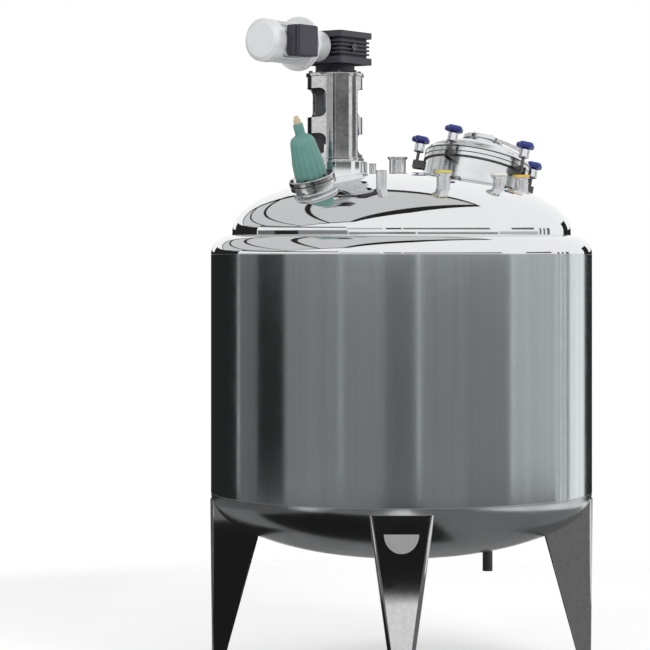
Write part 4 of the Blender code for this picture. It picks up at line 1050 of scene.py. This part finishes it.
def build_motor():
    """The motor on its flange, with fins, a terminal box and a fan cover."""
    along = Matrix.Translation((DRIVE_X, 0, MOTOR_Z)) @ about_z(GEARBOX_ANGLE)
    axis = along @ Matrix.Rotation(math.radians(90), 4, "Y")
    start = GEARBOX_SIDE / 2 + GAP
    flange_end = ADAPTER_END + MOTOR_FLANGE
    adapter = lathe("motor_flange", [
        (0.0, flange_end), (MOTOR_FLANGE_R, flange_end), (MOTOR_FLANGE_R, ADAPTER_END),
        (MOTOR_R + 0.004, ADAPTER_END), (ADAPTER_R - 0.006, start + 0.04), (ADAPTER_R - 0.006, start),
        (0.0, start)], 128, axis)
    dress(adapter, FINISHES["alloy"], nodes=("motor_adapter",))
    places = [spot @ Matrix.Rotation(math.pi, 4, "X")
              for spot in bolt_circle(axis, 4, 45, MOTOR_FLANGE_R - 0.014, ADAPTER_END)]
    dress(bolts("motor_bolts", places, 0.013, 0.007), FINISHES["dark_steel"])
    low = flange_end + GAP
    high = low + MOTOR_LENGTH
    face_r = MOTOR_FLANGE_R - 0.006
    body = lathe("motor_shell", [(0.0, high), (MOTOR_R, high), (MOTOR_R, low + 0.012),
                                 (face_r, low + 0.010), (face_r, low), (0.0, low)], 96, axis)
    dress(body, FINISHES["alloy"], nodes=("motor_body",))
    box_low = low + 0.034
    box_in = MOTOR_R - 0.004
    bm = bmesh.new()
    for index in range(MOTOR_FINS):
        angle = 360.0 * (index + 0.42) / MOTOR_FINS
        turn = axis @ about_z(angle)
        under_box = abs((angle - 90 + 180) % 360 - 180) < 42
        if under_box:
            continue
        fin = [(MOTOR_R - 0.002, -0.0028), (MOTOR_FIN_R - 0.001, -0.0018), (MOTOR_FIN_R, -0.0008),
               (MOTOR_FIN_R, 0.0008), (MOTOR_FIN_R - 0.001, 0.0018), (MOTOR_R - 0.002, 0.0028)]
        prism_into(bm, fin, low + 0.018, high - 0.006, turn)
    dress(made("motor_cooling_fins", bm), FINISHES["alloy"])
    box = block("terminal_box_case", (BOX_LENGTH, BOX_DEPTH - 0.014, BOX_HEIGHT),
                (box_low + BOX_LENGTH / 2, box_in + (BOX_DEPTH - 0.014) / 2, 0), along, 0.005)
    combine(box, [rod("box_seat", MOTOR_R + 0.0005, (0, 0, 0), (0, 0, high), 96, axis)])
    dress(box, FINISHES["charcoal"], nodes=("terminal_box",))
    lid = block("terminal_box_lid", (BOX_LENGTH, 0.0135, BOX_HEIGHT),
                (box_low + BOX_LENGTH / 2, box_in + BOX_DEPTH - 0.00675, 0), along, 0.004)
    dress(lid, FINISHES["charcoal"])
    cover_low = high + GAP
    cover_high = cover_low + FAN_COVER_LENGTH
    cover = lathe("fan_cowl", [(0.0, cover_high), (FAN_COVER_R - 0.014, cover_high),
                               (FAN_COVER_R, cover_high - 0.010), (FAN_COVER_R, cover_low),
                               (0.0, cover_low)], 96, axis, 0.003)
    dress(cover, FINISHES["alloy"], nodes=("fan_cover",))


# Manway

def fork(name, half_width, low, high, end, place):
    """A U seen from above, open outwards, with its back sunk into the neck's wall."""
    ear = half_width + EAR_PLATE
    back = MANWAY_R - MANWAY_WALL + 0.001
    web = MANWAY_R + EAR_PLATE
    outline = [(back, -ear), (end, -ear), (end, -half_width), (web, -half_width), (web, half_width),
               (end, half_width), (end, ear), (back, ear)]
    return prism(name, outline, low, high, place, 0.0012)


def cover_grip(place, top):
    """A square bar that follows the cover's dish and stands on it with both ends."""
    middle, across = HANDLE_XY
    near, far, bar = middle - HANDLE_SPAN / 2, middle + HANDLE_SPAN / 2, HANDLE_BAR_R

    def dish(x):
        return top + COVER_RISE * math.sqrt(1.0 - (x * x + across * across) / COVER_DISH_R ** 2)

    near_top, far_top = dish(near) + HANDLE_HEIGHT, dish(far) + HANDLE_HEIGHT
    outline = [(near - bar, dish(near - bar) - 0.001), (near + bar, dish(near + bar) - 0.001),
               (near + bar, near_top - 2 * bar), (far - bar, far_top - 2 * bar),
               (far - bar, dish(far - bar) - 0.001), (far + bar, dish(far + bar) - 0.001),
               (far + bar, far_top), (near - bar, near_top)]
    lying = place @ Matrix.Rotation(math.radians(90), 4, "X")
    return prism("cover_grip", outline, -across - bar, -across + bar, lying, 0.003, 3)


def build_cover(place, low):
    """The dished cover with a dark band round its rim, a painted shadow line, and its grip. Returns the
    height where the sight ring sits.
    """
    top = low + COVER_RIM
    neck_angle = math.degrees(math.acos(SIGHT_NECK_R / COVER_DISH_R))
    outside = arc(COVER_DISH_R, COVER_RISE, top, 6, neck_angle, 22)
    bore = COVER_DISH_R - COVER_WALL
    inside = arc(bore, COVER_RISE - COVER_WALL, top, 90, math.degrees(math.acos(RIM_BORE_R / bore)), 18)
    sight_low = top + COVER_RISE + SIGHT_NECK_RISE
    shade_line_high = top - COVER_SHADE_LINE_DROP
    shade_line_low = shade_line_high - COVER_SHADE_LINE
    rim = [(RIM_R, top - 0.002), (RIM_R, shade_line_high), (RIM_R, shade_line_low), (RIM_R, low), (RIM_BORE_R, low)]
    profile = [(0.0, sight_low), (SIGHT_NECK_R, sight_low)] + outside[::-1] + rim + inside[::-1]
    cover = lathe("cover_dish", profile, 128, place)
    dress(cover, FINISHES["fitting"], "cover", ("manway_cover",))
    # A dark band round the rim's outside: a painted shadow line
    second_finish(cover, FINISHES["dark_steel"], lambda spot: (
        shade_line_low < spot.z < shade_line_high and math.hypot(spot.x, spot.y) > RIM_R - 0.003))
    dress(cover_grip(place, top), FINISHES["drive"], "cover", ("cover_handle",))
    return sight_low


def manway_lugs(place):
    """The forks of the hinge and the clamps with their pins, cut back where the hinge's arm passes."""
    half = HINGE_WIDTH / 2 + EAR_GAP
    hinge = place @ about_z(HINGE_ANGLE)
    lugs = fork("hinge_fork", half, LUG_LOW, HINGE_HEIGHT + KNUCKLE_R - 0.002, HINGE_R + KNUCKLE_R - 0.002,
                hinge)
    others = [rod("hinge_pin", HINGE_PIN_R, (HINGE_R, -half - EAR_PLATE, HINGE_HEIGHT),
                  (HINGE_R, half + EAR_PLATE, HINGE_HEIGHT), 32, hinge, 0.001)]
    half = CLAMP_EYE_WIDTH / 2 + EAR_GAP
    for index, angle in enumerate(CLAMP_ANGLES):
        turn = place @ about_z(angle)
        others.append(fork(f"lug_{index}", half, LUG_LOW, LUG_HIGH, LUG_END_R, turn))
        others.append(rod(f"lug_pin_{index}", CLAMP_PIN_R, (CLAMP_R, -half - EAR_PLATE, CLAMP_PIVOT),
                          (CLAMP_R, half + EAR_PLATE, CLAMP_PIVOT), 32, turn, 0.001))
    combine(lugs, others, "UNION")
    depth = HINGE_R - HINGE_PIN_R - PIN_PLAY - MANWAY_R
    middle = MANWAY_R + depth / 2 - 0.004 - KNUCKLE_R / 2
    combine(lugs, [block("hinge_relief", (depth, 2 * (half + EAR_PLATE) + 0.05, 0.06),
                         (middle, 0, RIM_PLANE + 0.03), hinge, 0.0005)])
    lugs.name = "manway_lugs"
    return lugs


def build_manway():
    """The manway's seal, cover, collar, lugs and sight ring."""
    place = dome_frame(*MANWAY_XY)
    seal_low = RIM_PLANE + GAP
    seal_high = seal_low + GASKET
    seal = lathe("cover_seal", [(RIM_R - 0.002, seal_high), (RIM_R - 0.002, seal_low),
                                (RIM_BORE_R + 0.001, seal_low), (RIM_BORE_R + 0.001, seal_high)],
                 128, place, 0.0006)
    dress(seal, FINISHES["rubber"], "cover", ("cover_gasket",))
    sight_low = build_cover(place, seal_high + GAP)
    bore = MANWAY_R - MANWAY_WALL
    collar = lathe("manway_collar", [(RIM_R, RIM_PLANE), (RIM_R, RIM_LOW + 0.003), (MANWAY_R, RIM_LOW),
                                     (MANWAY_R, -MANWAY_DEPTH), (bore, -MANWAY_DEPTH), (bore, RIM_LOW),
                                     (RIM_BORE_R, RIM_LOW + 0.004), (RIM_BORE_R, RIM_PLANE)],
                   192, place, 0.0008)
    dress(collar, FINISHES["fitting"], nodes=("manway_neck",))
    dress(manway_lugs(place), FINISHES["dark_steel"])
    ring_low = sight_low + GAP
    ring_top = ring_low + SIGHT_RING
    ring = lathe("cover_sight_flange", [
        (0.0, ring_top - SIGHT_RECESS), (SIGHT_GLASS_R, ring_top - SIGHT_RECESS), (SIGHT_GLASS_R, ring_top),
        (SIGHT_RING_R - 0.002, ring_top), (SIGHT_RING_R, ring_top - 0.002), (SIGHT_RING_R, ring_low),
        (0.0, ring_low)], 96, place)
    dress(ring, FINISHES["fitting"], "cover", ("cover_sight_ring",))
    places = bolt_circle(place, 6, 0, SIGHT_RING_R - 0.012, ring_top)
    dress(bolts("cover_sight_bolts", places, 0.010, 0.005), FINISHES["fitting"], "cover")


def knob_mesh(name, place):
    """Soft lobes over a neck, in rings from the neck to the crown."""
    columns = 120
    lobe = KNOB_LOBE_R - KNOB_NOTCH_R
    waves = [(0.5 + 0.5 * math.cos(2 * math.pi * KNOB_LOBES * step / columns)) ** 0.8
             for step in range(columns)]
    head_low = KNOB_TOP - KNOB_HEAD
    levels = ((SLEEVE_HIGH + GAP, 0.38, 0.0), (head_low - 0.002, 0.38, 0.0), (head_low + 0.001, 0.70, 0.6),
              (head_low + 0.004, 0.93, 1.0), (head_low + 0.008, 1.0, 1.0), (KNOB_TOP - 0.008, 1.0, 1.0),
              (KNOB_TOP - 0.004, 0.96, 1.0), (KNOB_TOP - 0.0015, 0.85, 0.9), (KNOB_TOP, 0.66, 0.6),
              (KNOB_TOP, 0.34, 0.0), (KNOB_TOP - 0.0012, 0.30, 0.0))
    bm = bmesh.new()
    rings = []
    for height, share, lobed in levels:
        base = KNOB_NOTCH_R + lobe * (1.0 - lobed)
        rings.append(wavy_ring(bm, share * base, share * lobe * lobed, waves, height))
    join_rings(bm, rings)
    return made(name, bm, place)


def build_clamps():
    """The swing bolts, each a sleeve on a dark rod with an eye at its foot, and their knobs."""
    base = dome_frame(*MANWAY_XY)
    half = CLAMP_EYE_WIDTH / 2
    for number, angle in enumerate(CLAMP_ANGLES, 1):
        body = f"clamp_{number}"
        place = base @ about_z(angle) @ Matrix.Translation((CLAMP_R, 0, 0))
        profile = [(0.0, SLEEVE_HIGH), (SLEEVE_R, SLEEVE_HIGH), (SLEEVE_R, SLEEVE_LOW),
                   (CLAMP_ROD_R, SLEEVE_LOW), (CLAMP_ROD_R, CLAMP_PIVOT), (0.0, CLAMP_PIVOT)]
        bolt = lathe(f"clamp_{number}_sleeve", profile, 64, place, 0.0022)
        eye = rod("eye", CLAMP_EYE_R, (0, -half, CLAMP_PIVOT), (0, half, CLAMP_PIVOT), 48, place, 0.001)
        combine(bolt, [eye], "UNION")
        bore = rod("eye_bore", CLAMP_PIN_R + PIN_PLAY, (0, -2 * half, CLAMP_PIVOT),
                   (0, 2 * half, CLAMP_PIVOT), 48, place)
        combine(bolt, [bore])
        dress(bolt, FINISHES["fitting"], body, (f"swing_bolt_{number}",))
        second_finish(bolt, FINISHES["dark_steel"], lambda spot: spot.z < SLEEVE_LOW - 0.0005)
        knob = knob_mesh(f"clamp_{number}_knob", place)
        dress(knob, FINISHES["blue"], body, (f"star_knob_{number}",))


def finish_kept_solids():
    """The solids that stay as they are get the finish of their kind."""
    kinds = {"polished_steel": "fitting", "brushed_steel": "shell", "leg_steel": "leg",
             "gearbox_paint": "charcoal", "motor_alloy": "alloy", "lamp_paint": "teal",
             "gland_plastic": "cream", "knob_plastic": "blue", "yellow_cap": "orange_yellow",
             "white_cap": "white", "black_rubber": "rubber", "sight_glass": "glass"}
    for row in frame["record"]["subparts"]:
        node = frame["nodes"][row["node"]]
        if node.hide_render:
            continue
        label = kinds[row["material_slot"]]
        if row["node"] in ("jacket_drain", "cover_hinge_arm"):
            label = "dark_steel"
        if not node.data.materials:
            node.data.materials.append(FINISHES[label])
        for index in range(len(node.data.materials)):
            node.data.materials[index] = FINISHES[label]


# Studio

BLACK, DARK, MID, PALE, WHITE = 0.02, 0.15, 0.24, 0.52, 1.0

# Upright cards: first and last angle (0 in front, 90 to the right), low, top, tone and distance
CARDS = {
    "back_flag": (-180, -150, -3.0, 1.9, BLACK, 7.5),
    "rear_left_flag": (-150, -110, -3.0, 2.9, BLACK, 7.5),
    "left_strip": (-109, -91, -3.0, 1.9, DARK, 7.5),
    "left_flag": (-91, -70, -3.0, 1.9, BLACK, 7.5),
    "left_wall": (-70, -34.5, -3.0, 1.9, MID, 7.5),
    "left_bar": (-109, -36, 2.95, 3.6, DARK, 7.5),
    "front_wall": (-34, -9, -3.0, 1.75, MID, 7.5),
    "camera_flag": (-9, 9, -3.0, 1.75, DARK, 7.5),
    "right_wall": (10, 65, -3.0, 1.75, MID, 7.5),
    "right_screen": (66, 101, -3.0, 1.8, PALE, 7.5),
    "slat_1": (102.5, 104.5, -3.0, 2.6, DARK, 7.5),
    "slat_2": (107, 109, -3.0, 2.6, DARK, 7.5),
    "slat_3": (111.5, 115, -3.0, 2.6, DARK, 7.5),
    "rear_screen": (117, 137, -3.0, 1.8, WHITE, 7.5),
    "rear_right_flag": (138, 150, -3.0, 3.2, BLACK, 7.5),
    "back_right_flag": (150, 180, -3.0, 1.9, BLACK, 7.5),
    "high_screen": (-35, -12, 2.15, 2.9, PALE, 7.4),
    "high_flag": (-10, 0, 2.15, 2.9, BLACK, 7.4),
    "high_card": (1, 59, 2.15, 2.9, DARK, 7.4),
    "high_strip": (76, 97, 2.15, 2.9, DARK, 7.4),
    "kick_board": (-110, 101, -3.0, 0.03, DARK, 7.4),
    "floor_line": (-70, 37, 0.03, 0.11, 0.42, 7.4),
    "low_flag": (-12, 12, -3.0, 0.0, BLACK, 7.3),
}

# Flat cards: height, tone, corners
FLAT_CARDS = {
    "canopy_edge": (6.68, BLACK, ((2.5, 1.7), (-0.9, 5.6), (-5.8, 13.4), (-22, 22), (-22, -5.3), (-3.9, -5.7),
                                  (0.4, -1.6))),
    "canopy": (6.60, 0.66, ((2.1, 1.85), (-1.2, 5.0), (-6.0, 12.4), (-20, 20), (-20, -4.7), (-3.9, -5.0))),
    "beam_near": (6.55, BLACK, ((-1.5, 5.4), (-1.25, 5.2), (-6.2, -4.9), (-6.6, -4.9))),
    "beam_middle": (6.55, BLACK, ((-2.9, 8.8), (-2.6, 8.4), (-14.2, -4.6), (-15.0, -4.6))),
    "beam_far": (6.55, BLACK, ((-4.4, 11.2), (-4.0, 10.6), (-19.8, 3.6), (-19.8, 4.8))),
    # Painted shadow: dark sheets on the floor in front of and under the tank, which the steel mirrors as the
    # tank's shade on the floor
    "front_shadow_sheet": (0.006, BLACK, ((-1.3, -1.5), (0.27, -1.5), (0.27, -0.12), (-1.3, -0.12))),
    "right_shadow_sheet": (0.005, MID, ((0.27, -1.5), (1.7, -1.5), (1.7, -0.12), (0.27, -0.12))),
    "under_shadow_sheet": (0.004, MID, ((-1.7, -0.12), (1.7, -0.12), (1.7, 1.7), (-1.7, 1.7))),
    "left_mat": (0.003, DARK, ((-4.2, -1.4), (-1.3, -1.4), (-1.3, 3.0), (-4.2, 3.0))),
    "left_apron": (0.002, MID, ((-1.9, -3.6), (-0.2, -3.6), (-0.2, -1.5), (-1.9, -1.5))),
    "right_apron": (0.002, MID, ((0.2, -3.6), (1.9, -3.6), (1.9, -1.5), (0.2, -1.5))),
}


def card(name, bm, tone):
    """A plain card that only polished surfaces see."""
    made_card = made("card_" + name, bm)
    material = bpy.data.materials.new("card_" + name)
    material.use_nodes = True
    tree = material.node_tree
    tree.nodes.clear()
    emission = tree.nodes.new("ShaderNodeEmission")
    emission.inputs["Color"].default_value = (tone, tone, tone, 1.0)
    output = tree.nodes.new("ShaderNodeOutputMaterial")
    tree.links.new(emission.outputs[0], output.inputs["Surface"])
    made_card.data.materials.append(material)
    for ray in ("camera", "diffuse", "shadow", "transmission"):
        setattr(made_card, "visible_" + ray, False)


def build_cards(settings):
    """Light and dark studio cards round, over and under the tank, among them painted shadow sheets on the
    floor in front of and under it, for the polished steel to mirror.
    """
    for name, (start, end, low, top, tone, distance) in CARDS.items():
        bm = bmesh.new()
        steps = max(2, round((end - start) / 3))
        columns = []
        for step in range(steps + 1):
            angle = math.radians(start + (end - start) * step / steps)
            x, y = distance * math.sin(angle), -distance * math.cos(angle)
            columns.append((bm.verts.new((x, y, low)), bm.verts.new((x, y, top))))
        for (low_a, high_a), (low_b, high_b) in zip(columns, columns[1:]):
            bm.faces.new((low_a, low_b, high_b, high_a))
        card(name, bm, tone * settings.card_level)
    for name, (height, tone, corners) in FLAT_CARDS.items():
        bm = bmesh.new()
        bm.faces.new([bm.verts.new((x, y, height)) for x, y in corners])
        card(name, bm, tone * settings.card_level)


def build_floor():
    """A pale round floor that fades out to the background."""
    bm = bmesh.new()
    spin_into(bm, [(0.0, 0.0), (1.5, 0.0), (3.0, 0.0), (6.0, 0.0)], 96)
    floor = made("studio_floor", bm)
    material = bpy.data.materials.new("studio_floor_pale")
    material.use_nodes = True
    tree = material.node_tree
    shader = tree.nodes["Principled BSDF"]
    shader.inputs["Base Color"].default_value = (0.90, 0.90, 0.90, 1.0)
    shader.inputs["Roughness"].default_value = 0.9
    shader.inputs["Emission Color"].default_value = (1.0, 1.0, 1.0, 1.0)
    shader.inputs["Emission Strength"].default_value = 0.42
    coordinates = tree.nodes.new("ShaderNodeTexCoord")
    length = tree.nodes.new("ShaderNodeVectorMath")
    length.operation = "LENGTH"
    tree.links.new(coordinates.outputs["Object"], length.inputs[0])
    fade = spread(tree, length.outputs["Value"], 3.1, 3.5, 1.0, 0.0)
    tree.links.new(fade, shader.inputs["Alpha"])
    floor.data.materials.append(material)


def build_world(settings):
    world = bpy.data.worlds.new("studio_world")
    bpy.context.scene.world = world
    world.use_nodes = True
    tree = world.node_tree
    tree.nodes.clear()
    light = tree.nodes.new("ShaderNodeBackground")
    light.inputs["Strength"].default_value = settings.world_level
    seen = tree.nodes.new("ShaderNodeBackground")
    seen.inputs["Color"].default_value = (1.0, 1.0, 1.0, 1.0)
    seen.inputs["Strength"].default_value = 1.0
    path = tree.nodes.new("ShaderNodeLightPath")
    shown = maths(tree, "MAXIMUM", path.outputs["Is Camera Ray"],
                  maths(tree, "MAXIMUM", path.outputs["Is Glossy Ray"], path.outputs["Is Transmission Ray"]))
    mix = tree.nodes.new("ShaderNodeMixShader")
    tree.links.new(shown, mix.inputs[0])
    tree.links.new(light.outputs[0], mix.inputs[1])
    tree.links.new(seen.outputs[0], mix.inputs[2])
    output = tree.nodes.new("ShaderNodeOutputWorld")
    tree.links.new(mix.outputs[0], output.inputs["Surface"])


def build_lamps(settings):
    for name, place, size, power in (("key_light", (3.2, -4.2, 4.6), 2.6, settings.key_power),
                                     ("fill_light", (-4.2, -3.0, 3.2), 2.8, settings.key_power * 0.45)):
        data = bpy.data.lights.new(name, "AREA")
        data.shape = "DISK"
        data.size = size
        data.energy = power
        lamp = bpy.data.objects.new(name, data)
        lamp.location = place
        lamp.rotation_euler = (Vector((0, 0, 1.2)) - Vector(place)).to_track_quat("-Z", "Y").to_euler()
        lamp.visible_glossy = False
        bpy.context.scene.collection.objects.link(lamp)


def build_camera():
    data = bpy.data.cameras.new("photo_camera")
    data.sensor_width = SENSOR
    data.lens = CAMERA_DISTANCE / METRES_PER_PIXEL * SENSOR / PICTURE
    data.shift_x = (PICTURE / 2 - AXIS_PIXEL) / PICTURE
    data.shift_y = (HORIZON_PIXEL - PICTURE / 2) / PICTURE
    data.clip_end = 100.0
    camera = bpy.data.objects.new("photo_camera", data)
    camera.location = (0.0, -CAMERA_DISTANCE, CAMERA_HEIGHT)
    camera.rotation_euler = (math.radians(90), 0.0, 0.0)
    bpy.context.scene.collection.objects.link(camera)
    bpy.context.scene.camera = camera


# Add-on

class TankFinishSettings(bpy.types.PropertyGroup):
    """Colours and roughness of the tank's finishes, and the fineness of its meshes."""
    steel_colour: FloatVectorProperty(name="Shell steel", description="Colour of the jacket's sheet",
                                      subtype="COLOR", size=3, min=0.0, max=1.0, default=(0.66, 0.71, 0.73))
    mirror_colour: FloatVectorProperty(name="Mirror steel", description="Colour of the dome and fittings",
                                       subtype="COLOR", size=3, min=0.0, max=1.0, default=(0.80, 0.81, 0.82))
    gearbox_colour: FloatVectorProperty(name="Gearbox paint", description="Colour of the gearbox",
                                        subtype="COLOR", size=3, min=0.0, max=1.0, default=linear(40, 37, 48))
    lamp_colour: FloatVectorProperty(name="Lamp enamel", description="Colour of the lamp's housing",
                                     subtype="COLOR", size=3, min=0.0, max=1.0, default=linear(100, 148, 139))
    knob_colour: FloatVectorProperty(name="Knobs", description="Colour of the clamps' knobs",
                                     subtype="COLOR", size=3, min=0.0, max=1.0, default=linear(16, 30, 116))
    shell_roughness: FloatProperty(name="Shell roughness", description="How softly the jacket mirrors",
                                   min=0.0, max=1.0, default=0.13)
    mirror_roughness: FloatProperty(name="Mirror roughness", description="How softly the dome mirrors",
                                    min=0.0, max=1.0, default=0.04)
    weld_bead: FloatProperty(name="Weld bead", description="Radius of the welds' beads",
                             min=0.0005, max=0.006, default=0.0022, unit="LENGTH")
    tank_facets: IntProperty(name="Facets", description="Facets round the tank", min=48, max=512, default=256)


class TankStudioSettings(bpy.types.PropertyGroup):
    """Light levels of the studio."""
    world_level: FloatProperty(name="World", description="Light from all round",
                               min=0.0, max=4.0, default=0.62)
    card_level: FloatProperty(name="Cards", description="Brightness of the cards that the steel mirrors",
                              min=0.0, max=4.0, default=1.0)
    key_power: FloatProperty(name="Key lamp", description="Power of the main lamp", min=0.0, max=2000.0,
                             default=150.0, unit="POWER")


def finish_settings(context):
    """The scene's settings for the finishes, which are made here when a piece first needs them."""
    if not FINISHES:
        make_finishes(context.scene.tank_finish)
    return context.scene.tank_finish


class TANK_OT_jacket(bpy.types.Operator):
    """Build the jacket, the dome and their welds"""
    bl_idname = "tank.jacket"
    bl_label = "Jacket and dome"
    bl_options = {"REGISTER", "UNDO"}

    def execute(self, context):
        settings = finish_settings(context)
        build_jacket(settings)
        build_dome(settings)
        build_dome_welds(settings.weld_bead)
        return {"FINISHED"}


class TANK_OT_legs(bpy.types.Operator):
    """Build the four legs and their feet"""
    bl_idname = "tank.legs"
    bl_label = "Legs"
    bl_options = {"REGISTER", "UNDO"}

    def execute(self, context):
        build_legs(finish_settings(context).weld_bead)
        return {"FINISHED"}


class TANK_OT_ports(bpy.types.Operator):
    """Build the upright ports and their caps"""
    bl_idname = "tank.ports"
    bl_label = "Ports"
    bl_options = {"REGISTER", "UNDO"}

    def execute(self, context):
        finish_settings(context)
        build_ports()
        return {"FINISHED"}


class TANK_OT_lamp(bpy.types.Operator):
    """Build the sight port and its lamp"""
    bl_idname = "tank.lamp"
    bl_label = "Lamp"
    bl_options = {"REGISTER", "UNDO"}

    def execute(self, context):
        finish_settings(context)
        build_lamp()
        return {"FINISHED"}


class TANK_OT_drive(bpy.types.Operator):
    """Build the lantern, the gearbox and the motor"""
    bl_idname = "tank.drive"
    bl_label = "Drive"
    bl_options = {"REGISTER", "UNDO"}

    def execute(self, context):
        finish_settings(context)
        build_lantern()
        build_gearbox()
        build_motor()
        return {"FINISHED"}


class TANK_OT_manway(bpy.types.Operator):
    """Build the manway's collar, lugs and cover, and its clamps"""
    bl_idname = "tank.manway"
    bl_label = "Manway"
    bl_options = {"REGISTER", "UNDO"}

    def execute(self, context):
        finish_settings(context)
        build_manway()
        build_clamps()
        return {"FINISHED"}


class TANK_OT_kept(bpy.types.Operator):
    """Give the solids that stay their finishes"""
    bl_idname = "tank.kept"
    bl_label = "Kept solids"
    bl_options = {"REGISTER", "UNDO"}

    def execute(self, context):
        finish_settings(context)
        finish_kept_solids()
        return {"FINISHED"}


class TANK_OT_stage(bpy.types.Operator):
    """Build the floor, the cards, the lights and the camera"""
    bl_idname = "tank.stage"
    bl_label = "Studio"
    bl_options = {"REGISTER", "UNDO"}

    def execute(self, context):
        settings = context.scene.tank_studio
        context.scene.view_settings.view_transform = "Standard"
        build_camera()
        build_floor()
        build_cards(settings)
        build_world(settings)
        build_lamps(settings)
        return {"FINISHED"}


OPERATORS = (TANK_OT_stage, TANK_OT_jacket, TANK_OT_legs, TANK_OT_ports, TANK_OT_lamp, TANK_OT_drive,
             TANK_OT_manway, TANK_OT_kept)


class TANK_PT_panel(bpy.types.Panel):
    """The tank's settings and operators"""
    bl_label = "Mixing Tank"
    bl_idname = "TANK_PT_panel"
    bl_space_type = "VIEW_3D"
    bl_region_type = "UI"
    bl_category = "Mixing Tank"

    def draw(self, context):
        for settings in (context.scene.tank_finish, context.scene.tank_studio):
            for name in settings.__annotations__:
                self.layout.prop(settings, name)
        for operator in OPERATORS:
            self.layout.operator(operator.bl_idname)


CLASSES = (TankFinishSettings, TankStudioSettings, *OPERATORS, TANK_PT_panel)


def register():
    for item in CLASSES:
        bpy.utils.register_class(item)
    bpy.types.Scene.tank_finish = PointerProperty(type=TankFinishSettings)
    bpy.types.Scene.tank_studio = PointerProperty(type=TankStudioSettings)


def unregister():
    del bpy.types.Scene.tank_studio
    del bpy.types.Scene.tank_finish
    for item in reversed(CLASSES):
        bpy.utils.unregister_class(item)


def main():
    register()
    bpy.ops.tank.stage()
    bpy.ops.tank.jacket()
    bpy.ops.tank.legs()
    bpy.ops.tank.ports()
    bpy.ops.tank.lamp()
    bpy.ops.tank.drive()
    bpy.ops.tank.manway()
    bpy.ops.tank.kept()


if __name__ == "__main__":
    main()
